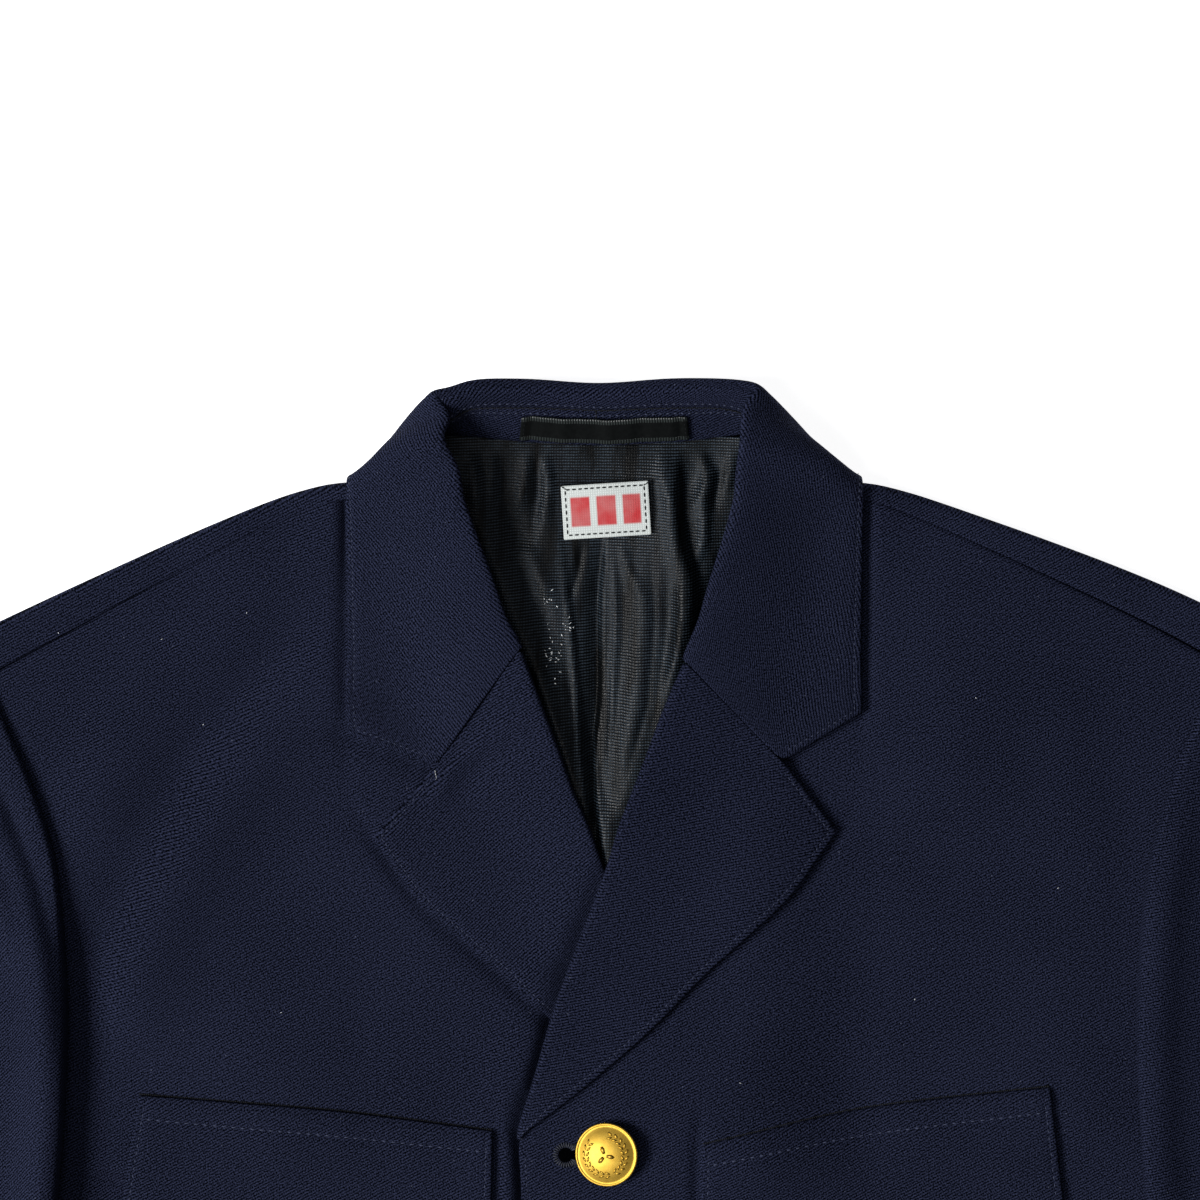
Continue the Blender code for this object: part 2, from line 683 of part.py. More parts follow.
# stations of the sleeves, closer together round the underarm, and from there to the cuff
UNDERARM_STATIONS = [6.0, 6.5]
CUFF_STATIONS = steps(5, 7, 12)


def under_end(v):
    """Where the under half of the top sleeve ends: at the back's armhole, then at the seam near the fold."""
    if v <= CAP_ROWS:
        return CAP_EDGE(v)
    return SLEEVE_OUTER(v) - Vector((SEAM_INSET + OUTER_TURN, 0))


def build_sleeve_top(side, name, finish):
    def at(u, v):
        inner, outer = SLEEVE_INNER(v), SLEEVE_OUTER(v)
        fold = outer - Vector((OUTER_TURN, 0))
        if u < 0:
            hem_in = inner + Vector((INNER_TURN, 0))
            z = sleeve_height(hem_in.x, hem_in.y)
            turned = -u * math.pi / 2
            low = smooth(4.2, 5.2, v)
            x = hem_in.x - INNER_TURN * math.sin(turned)
            return (side * x, hem_in.y, z - low * INNER_TURN * (1 - math.cos(turned)))
        if u <= 1:
            p = (inner + Vector((INNER_TURN, 0))).lerp(fold, u)
            return (side * p.x, p.y, sleeve_height(p.x, p.y))
        z_top, z_low = sleeve_height(fold.x, fold.y), SLEEVE_UNDER_MIDDLE
        if u <= 2:
            turned = (u - 1) * math.pi
            x = fold.x + OUTER_TURN * math.sin(turned)
            return (side * x, fold.y, z_low + (z_top - z_low) * (1 + math.cos(turned)) / 2)
        p = fold.lerp(under_end(v), u - 2)
        return (side * p.x, p.y, z_low)

    columns = [-1.0, -0.5] + steps(10) + [1.25, 1.5, 1.75] + steps(3, 2, 3)
    rows = steps(10, 0, 5) + [5.15, 5.6] + UNDERARM_STATIONS + CUFF_STATIONS
    cloth(name, at, columns, rows, SLEEVE_WALL, finish)


def build_sleeve_under(side, name, finish):
    """From the inner fold across to the seam near the outer fold, hollowed at the underarm."""
    top = spline(UNDER_TOP)

    def across(u, v):
        inner = SLEEVE_INNER(v) + Vector((UNDER_INSET, 0))
        return inner.lerp(under_end(v) - Vector((SEAM, 0)), u)

    def at(u, v):
        hollow = top(u * (len(UNDER_TOP) - 1)) - across(u, UNDER_FIRST)
        p = across(u, v) + hollow * smooth(9, UNDER_FIRST, v)
        return (side * p.x, p.y, SLEEVE_UNDER_MIDDLE + SLEEVE_SUPPORT * support(p.x, p.y))

    cloth(name, at, steps(13), UNDERARM_STATIONS + CUFF_STATIONS, SLEEVE_WALL, finish)


# --- pockets and buttons ---


def build_flap(side, name, finish):
    named = {key: Vector(value[0 if side == LEFT else 1]) for key, value in FLAPS.items()}
    top = spline([named["inner_top"], named["middle_top"], named["outer_top"]])

    def at(u, v):
        p = top(2 * u).lerp(named["inner_bottom"].lerp(named["outer_bottom"], u), v)
        return (side * p.x, p.y, front_height(side * p.x, p.y, side) + FLAP_OVER_FRONT)

    cloth(name, at, steps(9), steps(4), FLAP_WALL, finish)


# button turned from its profile: radius, height, shown from the top of the dome down to the shank
BUTTON_PROFILE = (
    (0.0, 7.4),
    (5.0, 7.0),
    (9.0, 5.6),
    (11.0, 4.5),
    (BUTTON_RADIUS, 4.4),
    (BUTTON_RADIUS, 3.7),
    (10.6, 3.1),
    (3.0, 2.6),
    (3.0, 0.5),
    (0.0, 0.5),
)
BUTTON_TURN_STEPS = 20
MERGE_DISTANCE = 0.00005


def build_button(number, finish):
    y = BUTTON_TOP - BUTTON_STEP * (number - 1)
    base = front_height(BUTTON_LINE, y, LEFT) + FRONT_WALL / 2
    bm = bmesh.new()
    points = [bm.verts.new((r / 1000, 0, z / 1000)) for r, z in BUTTON_PROFILE]
    for a, b in zip(points, points[1:]):
        bm.edges.new((a, b))
    mesh = bpy.data.meshes.new(f"button_{number}")
    bm.to_mesh(mesh)
    bm.free()
    made = add_object(f"button_{number}", mesh, finish)
    made.location = in_world((BUTTON_LINE, y, base))
    screw = made.modifiers.new("turning", "SCREW")
    screw.steps = screw.render_steps = BUTTON_TURN_STEPS
    screw.use_merge_vertices = True
    screw.merge_threshold = MERGE_DISTANCE
    screw.use_smooth_shade = True


def main():
    for old in list(bpy.data.objects):
        bpy.data.objects.remove(old, do_unlink=True)
    collection = bpy.data.collections.new(COLLECTION)
    bpy.context.scene.collection.children.link(collection)

    navy = material("navy_wool_twill", NAVY, 0.85)
    satin = material("black_lining_satin", BLACK_SATIN, 0.45)
    woven = material("white_woven_tape", WHITE_WOVEN, 0.8)
    brass = material("gilt_brass", BRASS, 0.3, 1.0)

    build_back(navy)
    build_lining(satin)
    for side, name in SIDES:
        build_front(side, f"front_{name}", navy)
        build_lapel(side, f"lapel_{name}", navy)
        build_flap(side, f"flap_{name}", navy)
        build_sleeve_top(side, f"sleeve_top_{name}", navy)
        build_sleeve_under(side, f"sleeve_under_{name}", navy)
    build_collar(navy)
    build_hanger_loop(satin)
    build_size_label(woven)
    for number in range(1, BUTTON_COUNT + 1):
        build_button(number, brass)


main()
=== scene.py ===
"""Military dress tunic, laid flat on its back: cloth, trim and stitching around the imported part.

Sizes and tables are in millimetres, in the garment's own layout: x runs to the wearer's left, y up the garment
from the fold of the collar at centre back, z up from the surface it lies on. in_world turns them to the part's
frame. Each piece of cloth is a fine grid over the form of its solid, with folds, then given its wall and rounded
edges. Tables that hold one half of the garment give x outwards.
"""

import bisect
import itertools
import math
import random
import bmesh
import bpy
from mathutils import Matrix, Vector, noise


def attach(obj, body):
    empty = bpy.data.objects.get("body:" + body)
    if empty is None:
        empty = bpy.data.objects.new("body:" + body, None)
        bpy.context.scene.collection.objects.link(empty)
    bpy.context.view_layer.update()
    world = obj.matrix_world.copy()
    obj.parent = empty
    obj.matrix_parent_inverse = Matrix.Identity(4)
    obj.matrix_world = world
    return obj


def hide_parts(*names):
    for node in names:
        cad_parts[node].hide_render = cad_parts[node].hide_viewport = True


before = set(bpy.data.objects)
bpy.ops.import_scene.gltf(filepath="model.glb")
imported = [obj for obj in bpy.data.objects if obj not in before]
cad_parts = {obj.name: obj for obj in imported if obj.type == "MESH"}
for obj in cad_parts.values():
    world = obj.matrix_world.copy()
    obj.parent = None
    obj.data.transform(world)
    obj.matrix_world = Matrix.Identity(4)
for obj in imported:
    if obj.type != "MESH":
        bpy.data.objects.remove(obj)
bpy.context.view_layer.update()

LEFT, RIGHT = 1, -1
SIDES = ((LEFT, "left"), (RIGHT, "right"))

# --- walls and gaps ---
BACK_WALL = 2.0
FRONT_WALL = 2.2
LAPEL_WALL = 2.4
COLLAR_WALL = 2.2
STAND_WALL = 2.0
SLEEVE_WALL = 2.0
FLAP_WALL = 2.2
LINING_WALL = 1.0
RIBBON_WALL = 0.8
LABEL_WALL = 0.6
SEAM = 0.4
LAYER_GAP = 0.9
FLAP_GAP = 0.5
# space between the two layers of the body, and of a sleeve
BODY_HOLLOW = 2.6
SLEEVE_HOLLOW = 2.8

# --- resting heights of the middle of each wall ---
BACK_MIDDLE = BACK_WALL / 2
LINING_MIDDLE = 3.4
FRONT_MIDDLE = BACK_WALL + BODY_HOLLOW + FRONT_WALL / 2
LAPEL_OVER_FRONT = FRONT_WALL / 2 + LAYER_GAP + LAPEL_WALL / 2
FLAP_OVER_FRONT = FRONT_WALL / 2 + FLAP_GAP + FLAP_WALL / 2
SLEEVE_SUPPORT = FRONT_MIDDLE + FRONT_WALL / 2 + LAYER_GAP
SLEEVE_UNDER_MIDDLE = SLEEVE_WALL / 2
SLEEVE_TOP_MIDDLE = SLEEVE_WALL * 1.5 + SLEEVE_HOLLOW
# share of its support that the sleeve stands on, and how much of that is left at its head
SLEEVE_SETTLED = 0.9
SLEEVE_HEAD_SHARE = 0.45
COLLAR_LIFT = 3.8

# --- overall sizes ---
BACK_HEM = -742.0
FRONT_HEM = -745.0
TOP_OF_FOLD = 3.0
BUTTON_LINE = 2.5
BREAK = -281.0
BUTTON_TOP = -289.0
BUTTON_STEP = 95.0
BUTTON_COUNT = 4
BUTTON_RADIUS = 12.0

# y, reach of the fold of collar and lapel outwards on the wearer's left, and on the right
ROLL_LINE = (
    (-281, -32.1, -37.1),
    (-261, -25.7, -30.7),
    (-232.5, -17.4, -22.4),
    (-180.5, 2, -0.4),
    (-166, 6.3, 4.8),
    (-153, 11.3, 10.6),
    (-139.5, 16.6, 15.3),
    (-124, 22.3, 21.2),
    (-104, 30.8, 28.6),
    (-92, 34.6, 33),
    (-78, 38.6, 39),
    (-54, 46.4, 47.5),
    (-31, 51.7, 54.9),
    (-10, 54.3, 58.7),
)

# y, how far the fold stands above the resting layers
ROLL_HEIGHT = (
    (-281, 0),
    (-240, 1.5),
    (-181, 3.5),
    (-140, 6),
    (-104, 9),
    (-78, 12),
    (-54, 15),
    (-32, 17),
    (-10, 17),
)
ROLL_REACH = 45.0

# corners of collar and lapel: (x, y) on the left, (x, y) on the right, x outwards
CORNERS = {
    "gorge": ((31.2, -104), (30.8, -99.5)),
    "notch": ((67.5, -141.1), (62.6, -143)),
    "collar_point": ((97.7, -122.6), (95.8, -130.6)),
    "lapel_point": ((87.9, -167.5), (86, -169.8)),
}

# back half of the collar, from centre back outwards, as (x, y, z) for each line along it: neck seam, seam
# inside the fold, just inside the fold, fold, just outside it, middle of the leaf, its edge under the back
COLLAR_BACK = (
    ((0, -21.7, 9.4), (0, -8.7, 18), (0, -2.6, 21.8), (0, 0.4, 21.4), (0, 1, 17.5), (0, -14, 1.7), (0, -32, 1.1)),
    ((30, -20.2, 9.4), (29, -7.8, 18.4), (30, -2.2, 22.2), (30.3, 0.6, 21.8), (31, 1.2, 18), (34, -13.5, 1.8),
     (38, -33, 1.1)),
    ((54, -17.5, 10.4), (48, -8.5, 19.2), (53, -4.5, 23.6), (55.8, -2, 24), (59, -0.8, 22), (70, -14.5, 3.4),
     (70, -34, 1.1)),
    ((66.5, -20, 13), (58, -14, 20), (54.8, -11.5, 22.8), (53.6, -10.5, 24.5), (56, -9.5, 26.2), (79.5, -18.2, 14),
     (85, -34, 1.1)),
)
# the rest of it, down the side of the neck: y of the fold, width and y of the stand's seam, width of the turned
# band, middle of the leaf (x, y, z), edge of the leaf (x, y, z); a z of None lies on the layers below
COLLAR_SIDE = (
    (-21, 17.8, -27, 8.2, (84.5, -24, 20), (96.6, -31.4, 6.5)),
    (-28, 20, -33, 9, (83.5, -30, 20.5), (98.4, -34, 12.8)),
    (-38, 21.5, -42, 9, (80, -42, None), (98.6, -46, None)),
    (-60, 20.5, -61, 9, (77, -67, None), (98.4, -73, None)),
    (-83, 12, -85, 7, (72, -104, None), (98.2, -99, None)),
)
LEAF_TURN = 1.7
LEAF_OVER_FRONT = 3.0

# front neckline: y, distance outwards from the fold
NECKLINE = ((-107, 3.2), (-101, 7.2), (-85, 14), (-61, 22), (-42, 23.2), (-29, 21.8))

# front edge below the break: y, x of the edge that laps over
LAP_EDGE = ((-745, -31.5), (-330, -31), (-306, -30.2), (-293, -30.8), (-281, -31.8))

# shoulder edge from the neck outwards: x, y of the edge, depth of the back's strip on top of the shoulder
SHOULDER = (
    (74, -24.8, 5.2),
    (84, -33.4, 5.5),
    (92, -36.4, 5.6),
    (98, -35.6, 6.2),
    (106, -37.2, 7),
    (120, -41, 8.4),
    (150, -52.5, 11.2),
    (181, -65.5, 14.2),
    (210, -78.3, 16.6),
    (234, -89.5, 18.4),
)
# how much higher than that each shoulder point is laid
SHOULDER_UP = {LEFT: 4.5, RIGHT: -2.0}

# y, half width of the body: side seam, and above the underarm the armholes of front and back
SIDE_SEAM = ((-745, 280), (-600, 262), (-445, 247), (-360, 258), (-291, 272))
FRONT_ARMHOLE = ((-291, 272), (-274, 246), (-240, 224), (-190, 213), (-150, 218), (-107.5, 234))
BACK_ARMHOLE = ((-291, 272), (-250, 236.5), (-200, 224.5), (-163, 224.5), (-128, 228.5), (-92.6, 234))

# rows of the fronts: y at the inner edge, y at the outer edge
FRONT_ROWS = (
    (-30.2, -107.5),
    (-36, -116),
    (-48, -128),
    (-62, -141),
    (-76, -154),
    (-90, -167),
    (-103, -180),
    (-118, -193),
    (-138, -208),
    (-160, -224),
    (-181, -240),
    (-206, -257),
    (-232, -274),
    (-258, -291),
    (-281, -307),
    (-302, -326),
    (-345, -362),
    (-410, -420),
    (-490, -495),
    (-575, -577),
    (-660, -661),
    (-745, -745),
)
BREAK_ROW = 14
LAST_FINE_ROW = 16
# y of the back's rows at its outer edge
BACK_ROWS = (-92.6, -110, -128, -163, -200, -225, -250, -270, -291, -326, -362, -445, -530)
BACK_ROWS += (-640, BACK_HEM)

# rows of the lapels, from the gorge to the break: y at the fold, x and y of the outer edge on the left
LAPEL_ROWS = (
    (-104.4, 87.9, -167.5),
    (-118, 79, -180),
    (-138, 69.4, -192.8),
    (-160, 52.5, -208.5),
    (-181, 38, -221.5),
    (-206, 20, -240),
    (-232, 2, -256),
    (-258, -14.5, -269.5),
    (-279.4, -29.3, -280.6),
    (-283.4, -31, -284),
)

# outlines of the sleeve seen from above, shoulder to cuff: inner edge x, y, outer edge x, y
SLEEVE = (
    (236.5, -94.5, 241.5, -93),
    (229, -118, 265.5, -107),
    (216, -149, 301, -137),
    (207, -178, 333, -180),
    (203.3, -212, 360, -238),
    (202.2, -250, 376.5, -292),
    (205.5, -307, 386.5, -345),
    (213, -370, 391, -400),
    (221, -440, 392.5, -462),
    (229, -520, 391, -535),
    (236.5, -600, 388, -610),
    (242.5, -660, 385.5, -668),
    (246, -702, 383.5, -711),
)
# where the turned under half of the top sleeve ends, at the same stations as far as the underarm: x, y
CAP_UNDER = ((238.5, -96), (231.5, -128), (228, -163), (228, -204), (242.5, -250), (276, -293))
SEAM_INSET = 9.0

# y, half width of the lining where it shows in the neck
LINING_ROWS = ((-196, 16), (-180, 20), (-160, 26), (-140, 32), (-120, 38), (-100, 44))
LINING_ROWS += ((-80, 51), (-62, 57), (-46, 62), (-30, 66), (-18.5, 60))

# chest flap corners: (x, y) on the left, (x, y) on the right, x outwards
FLAPS = {
    "inner_top": ((37.9, -285.3), (41.4, -280.6)),
    "middle_top": ((99, -272.2), (103, -273)),
    "outer_top": ((168.7, -264.2), (174.5, -267.2)),
    "inner_bottom": ((37, -336), (42.4, -333)),
    "outer_bottom": ((175.5, -322), (183.5, -324)),
}

LOOP_ENDS = (-31, 33.4)
LABEL_CENTRE = (1.5, -46.6)
LABEL_SIZE = (33, 20.4)
LABEL_TILT = math.radians(3.5)
LABEL_RISE = 2.2
# corners of the label's stitching, in half widths and half heights
LABEL_STITCHED = ((-0.9, -0.84), (0.9, -0.84), (0.9, 0.84), (-0.9, 0.84))
# height of the label's edge over the lining, and how it bows
LABEL_OVER_LINING, LABEL_BOW, LABEL_WAVE = 0.8, 0.5, 0.25
LINING_RISE = 7.4
LINING_LIFT = 2.2
LINING_BANK = 4.0
PLEAT_HOLLOW = 3.0
PLEAT_HOLLOW_WIDTH = 4.0
PLEAT_EDGE = 1.2
# how far the lining stands off its seam with the stand, and how much more beside the collar
LINING_SEAM_RISE, LINING_SIDE_RISE = 1.2, 3.6
# where the risen side of the lining curls down again: y, x
LINING_CURL = ((-196, 60), (-122, 60), (-108, 40), (-95, 33.2), (-76, 33.2), (-58, 29), (-40, 27), (-18, 27))
PLEAT = ((-184, 1.1), (-160, -1.5), (-138, -2.6), (-118, -0.6), (-85, -0.4), (-73, 0.2), (-58, 1.4), (-24, 1))

LAP_HOLLOW = 2.6
LAP_HOLLOW_WIDTH = 2.4
LAP_HOLLOW_INSIDE = 7.2
# half the height over which the lapel's fold passes into the front's edge
LAP_BLEND = 6
LAP_BANK = 1.9
LAP_BANK_PLACE = 4.6
LAP_BANK_WIDTH = 15.0
BUTTON_HOLLOW = 1.2
# height the left front climbs over the right one, and how much more above the break
OVERLAP_RISE, OVERLAP_RISE_UPPER = 3.6, 4.2

# --- spans: x (outwards) or y where a change starts, and where it is complete ---
ASKEW_X, ASKEW_Y = (110, 226), (-190, -90)
NECK_LIFT_X, NECK_LIFT_Y = (124, 96), (-92, -36)
OVERLAP_X, OVERLAP_Y, OVERLAP_UPPER_Y = (104, 50), (-100, -176), (-316, -290)
LAP_BANK_Y = (-150, -215)
SUPPORT_X = (52, 14)
SLEEVE_RESTS_Y, SLEEVE_FOLDS_Y = (-100, -205), (-96, -130)
LINING_INSIDE_Y, LINING_SEAM_Y, LINING_SEAM_X = (-21, -32), (-34, -19), (40, 66)
LINING_RISEN_Y, LINING_LOW_END_Y, LINING_TOP_END_Y = (-200, -168), (-190, -168), (-40, -76)
LINING_LEVEL_Y, PLEAT_Y = (-21, -36), (-48, -76)
NECKLINE_Y = (-114, -100)
SIDE_CLOSED_Y = (-296, -322)

# --- stitching and edges ---
EDGE_BAND = 4.6
# the band is never more than this share of the way across
EDGE_BAND_SHARE = 0.4
STITCH_INSET = 2.3
STITCH_GROOVE = 0.5
STITCH_GROOVE_WIDTH = 0.95
EDGE_ROLL = 0.7
EDGE_ROLL_WIDTH = 1.6
STITCH_RISE = 0.06
# a fold's reach in half widths, the share of its length that each end fades over, and what is left at its tip
FOLD_REACH, FOLD_END, FOLD_TIP = 2.6, 0.25, 0.15
# unevenness of each cloth: its size, its height, and a part number that sets it apart
FRONT_WAVER = (42, 0.5)
SLEEVE_WAVER = (38, 0.7, 4)
LINING_WAVER = (15, 0.35, 9)
FLAP_WAVER = (26, 0.5, 7)
# distances of the grid's lines from a stitched edge
BAND_LINES = (0, 0.6, 1.4, 2.3, 3.2, 4.6)

# --- folds: height (below 0 a trough), half width, then the points (x, y) along it, x signed ---
CHEST_FOLDS = (
    (-2.5, 11, (-92, -68), (-118, -92), (-152, -133), (-168, -163), (-186, -201), (-196, -231), (-201, -262)),
    (3.4, 14, (-108, -112), (-140, -152), (-164, -192), (-176, -226), (-184, -256)),
    (1.9, 12, (-178, -118), (-190, -150), (-197, -176)),
    (1, 14, (-133, -244), (-128, -268), (-124, -300)),
    (-0.9, 12, (-86, -212), (-92, -246), (-84, -300)),
    (1.4, 13, (166, -112), (178, -142), (186, -176), (190, -214)),
    (-1, 12, (188, -138), (197, -186), (196, -250)),
    (-1, 12, (22, -258), (46, -234), (76, -205), (96, -180)),
    (0.9, 16, (120, -84), (132, -126), (136, -176)),
    (0.8, 12, (104, -236), (112, -262), (122, -300)),
    (1.6, 10, (-58, -352), (-34, -380), (-8, -384)),
    (-1.2, 9, (12, -384), (52, -372), (104, -352)),
    (1.8, 12, (12, -479), (70, -452), (140, -440)),
    (-1.2, 14, (-40, -470), (-110, -448), (-196, -452)),
    (2, 16, (-60, -560), (-130, -540), (-214, -560)),
    (1.5, 18, (60, -640), (130, -610), (220, -628)),
    (1.8, 15, (252, -300), (216, -352), (170, -392)),
    (1.7, 15, (-250, -306), (-210, -362), (-150, -410)),
)
# the fronts pressed in along the free edges of collar, lapels and flaps that lie on them
PRESSED_EDGES = (
    (-2.9, 2.4, (-97, -22), (-96.8, -50), (-96.6, -80), (-96.6, -110), (-97, -146)),
    (-1.8, 2.6, (99.4, -22), (99.2, -50), (99, -80), (98.8, -110), (98.6, -140)),
    (-2.4, 2.4, (-112, -130), (-96, -132), (-80, -138), (-63, -145), (-50, -148)),
    (-2.2, 2.4, (112, -120), (98, -124), (82, -132), (68, -143), (54, -150)),
    (-2.5, 2.2, (-96, -156), (-87, -170.5), (-78, -183), (-68, -196), (-50, -212), (-35, -225), (-16, -243),
     (4, -260)),
    (-1.2, 2.4, (98, -156), (89.5, -169), (80.5, -182), (70.5, -195), (54, -211), (39, -224), (21, -242),
     (-4, -262)),
    (-2.2, 2, (-173.5, -250), (-176, -270), (-179.5, -292), (-184.5, -330)),
    (-2.2, 2, (36.2, -270), (36, -288), (35.8, -306), (35.4, -345)),
    (-1, 2.2, (-39.5, -268), (-39.5, -288), (-39.8, -306), (-40.5, -345)),
    (-1, 2.2, (170.5, -250), (173, -280), (177.5, -325)),
)
LEAF_FOLDS = (
    (-1.1, 4, (-98, -116), (-78, -118), (-54, -113)),
    (0.8, 5, (-94, -103), (-70, -106), (-50, -100)),
    (1.1, 2.8, (34, -91), (52, -86), (76, -79)),
    (-0.9, 3.6, (44, -98), (64, -92), (90, -90)),
    (0.6, 6, (52, -112), (66, -104), (84, -98)),
)
LAPEL_FOLDS = (
    (1.7, 2.4, (-20, -124), (-37, -130), (-50, -139), (-60, -150), (-66, -163)),
    (-1.5, 2.8, (-21, -129), (-38, -136), (-49, -145), (-57, -155)),
    (0.7, 5, (34, -128), (50, -127), (62, -135)),
    (-0.6, 7, (8, -205), (26, -196), (48, -186)),
)
LINING_FOLDS = (
    (1.5, 1.6, (-16.4, -56), (-13.2, -81), (-11, -101), (-9.8, -114), (-8.3, -138), (-5.7, -160), (-1.9, -174)),
    (1, 4, (-20.4, -50), (-17.2, -81), (-15, -101), (-12, -138), (-9, -170)),
    (1.6, 4.6, (15, -66), (15, -88), (13, -112), (8, -138), (3, -166)),
    (-1.3, 2.6, (25, -66), (24.6, -92), (21, -118), (14, -144)),
    (1.7, 2, (30, -68), (30.5, -84), (29, -100), (25, -116)),
    (1.9, 1.6, (35.8, -22), (39.2, -31), (38.5, -38), (34, -48)),
    (2.2, 1.7, (44.5, -24), (41, -36), (38.6, -44), (38.5, -58), (35, -68)),
    (2.1, 1.8, (50, -18), (49.5, -26), (47, -40)),
    (-1.6, 1.8, (41.6, -22), (43.5, -34), (42, -48)),
    (-1.4, 2.2, (33, -30), (31, -44), (33, -60)),
    (1.3, 2.4, (27, -36), (26, -52), (29, -70)),
    (2.2, 2.2, (-50.5, -24), (-47.5, -34), (-47, -46)),
    (2.2, 2, (-42, -22), (-41, -34), (-42, -46)),
    (-1.6, 4, (-34, -38), (-32, -54), (-27, -68), (-22, -86)),
    (2.6, 3.6, (-30, -58), (-25, -70), (-20, -82)),
    (1.6, 1.8, (-22, -24), (-20, -38), (-22, -54)),
    (1.6, 2, (-28, -22), (-29, -36), (-33, -50)),
    (-1.2, 1.8, (-24.5, -26), (-24, -40), (-27, -58)),
    (1.3, 2.6, (-26, -98), (-22, -112), (-17, -130), (-11, -150)),
    (1.3, 2, (24, -20), (23, -34), (27, -50)),
    (-1, 1.6, (-7, -58), (-9, -70), (-14, -84)),
    (1, 1.8, (7, -58), (10, -70), (16, -80)),
    (-0.9, 1.6, (18.5, -62), (19.5, -90), (17, -120), (9, -148)),
    (0.9, 1.5, (4.5, -60), (5.5, -90), (4, -120), (2, -150)),
)
SLEEVE_FOLDS = (
    (-3.2, 4, (-232, -140), (-222, -162), (-213, -186), (-207, -212), (-203, -240)),
    (-2.2, 4, (-236, -166), (-225, -182), (-216, -208), (-212, -230)),
    (10, 9, (-220, -182), (-211, -216), (-208, -262), (-211, -312), (-220, -366)),
    (-2, 8, (-240, -200), (-236, -250), (-238, -300)),
    (4, 8, (222, -150), (211, -190), (208, -240), (209, -290), (215, -350)),
    (-1.5, 8, (236, -190), (232, -240), (236, -290)),
    (2.2, 14, (-262, -140), (-300, -210), (-330, -300)),
    (2.2, 14, (266, -150), (300, -220), (326, -310)),
    (-1.8, 12, (-222, -330), (-280, -352), (-360, -350)),
    (-1.8, 12, (224, -345), (290, -368), (366, -362)),
    (2.4, 13, (-226, -372), (-290, -398), (-380, -392)),
    (2.4, 13, (228, -388), (300, -410), (378, -400)),
    (-1.6, 12, (-236, -430), (-300, -448), (-376, -436)),
    (1.8, 16, (-262, -500), (-312, -540), (-330, -620)),
    (1.8, 16, (270, -480), (322, -530), (336, -640)),
)
BACK_FOLDS = (
    (1, 12, (-160, -140), (-90, -180), (0, -190), (90, -176), (164, -132)),
    (0.9, 14, (-60, -300), (-40, -420), (-60, -600)),
    (1.1, 13, (80, -320), (64, -460), (90, -640)),
    (0.8, 15, (-210, -380), (-120, -430), (20, -500)),
    (0.9, 12, (150, -560), (60, -600), (-110, -690)),
)


# --- numbers ---


def smooth(start, end, value):
    """0 at start, 1 at end, with level ends; start may be the larger one."""
    t = min(max((value - start) / (end - start), 0.0), 1.0)
    return t * t * (3 - 2 * t)


def steps(count, start=0.0, end=1.0):
    return [start + (end - start) * i / count for i in range(count + 1)]


def curve(keys, values):
    """Smooth line through the values, as a function of the key."""
    last = len(keys) - 1
    slopes = []
    for i in range(last + 1):
        low, high = max(i - 1, 0), min(i + 1, last)
        slopes.append((values[high] - values[low]) / (keys[high] - keys[low]))

    def at(key):
        key = min(max(key, keys[0]), keys[-1])
        i = min(max(bisect.bisect_right(keys, key) - 1, 0), last - 1)
        span = keys[i + 1] - keys[i]
        t = (key - keys[i]) / span
        start = values[i] * (1 + 2 * t) * (1 - t) ** 2 + slopes[i] * span * t * (1 - t) ** 2
        return start + values[i + 1] * t * t * (3 - 2 * t) - slopes[i + 1] * span * t * t * (1 - t)

    return at


def column(table, number=1):
    return curve([row[0] for row in table], [row[number] for row in table])


def by_row(table, number=0):
    """Smooth line through a column, as a function of the row's number."""
    values = [row[number] for row in table]
    return curve(list(range(len(values))), values)


def spline(points):
    """Smooth curve through the points, as a function of the station number."""
    points = [Vector(p) for p in points]

    def at(station):
        i = min(max(int(station), 0), len(points) - 2)
        t = station - i
        p1, p2 = points[i], points[i + 1]
        p0 = points[i - 1] if i else p1 * 2 - p2
        p3 = points[i + 2] if i + 2 < len(points) else p2 * 2 - p1
        linear, square = (p2 - p0) * t, (p0 * 2 - p1 * 5 + p2 * 4 - p3) * t**2
        return (p1 * 2 + linear + square + (p1 * 3 - p0 - p2 * 3 + p3) * t**3) / 2

    return at


def fine(values, size):
    """Row numbers for a table of places, split until no step is longer than size."""
    rows = []
    for i in range(len(values) - 1):
        count = max(1, round(abs(values[i + 1] - values[i]) / size))
        rows += [i + k / count for k in range(count)]
    return rows + [float(len(values) - 1)]


def in_band(value, length, low=False):
    """Share of the way across: 0 to 1 is the field, above 1 (and below 0 if low) millimetres of the edge band."""
    band = min(EDGE_BAND, length * EDGE_BAND_SHARE)
    start = band if low else 0.0
    if value > 1:
        return 1 - (EDGE_BAND - (value - 1)) / EDGE_BAND * band / length
    if value < 0:
        return (EDGE_BAND + value) / EDGE_BAND * band / length
    return (start + (length - start - band) * value) / length


def band_lines(high=True):
    """Grid lines of an edge band, as in_band takes them."""
    if high:
        return [1 + EDGE_BAND - d for d in reversed(BAND_LINES[:-1])]
    return [d - EDGE_BAND for d in BAND_LINES[:-1]]


def groove(distance, inset=STITCH_INSET):
    """Stitching pulls the cloth in along its line, and an edge is rolled over outside it."""
    rolled = EDGE_ROLL * smooth(EDGE_ROLL_WIDTH, 0, distance) if inset == STITCH_INSET else 0.0
    return -STITCH_GROOVE * math.exp(-(((distance - inset) / STITCH_GROOVE_WIDTH) ** 2)) - rolled


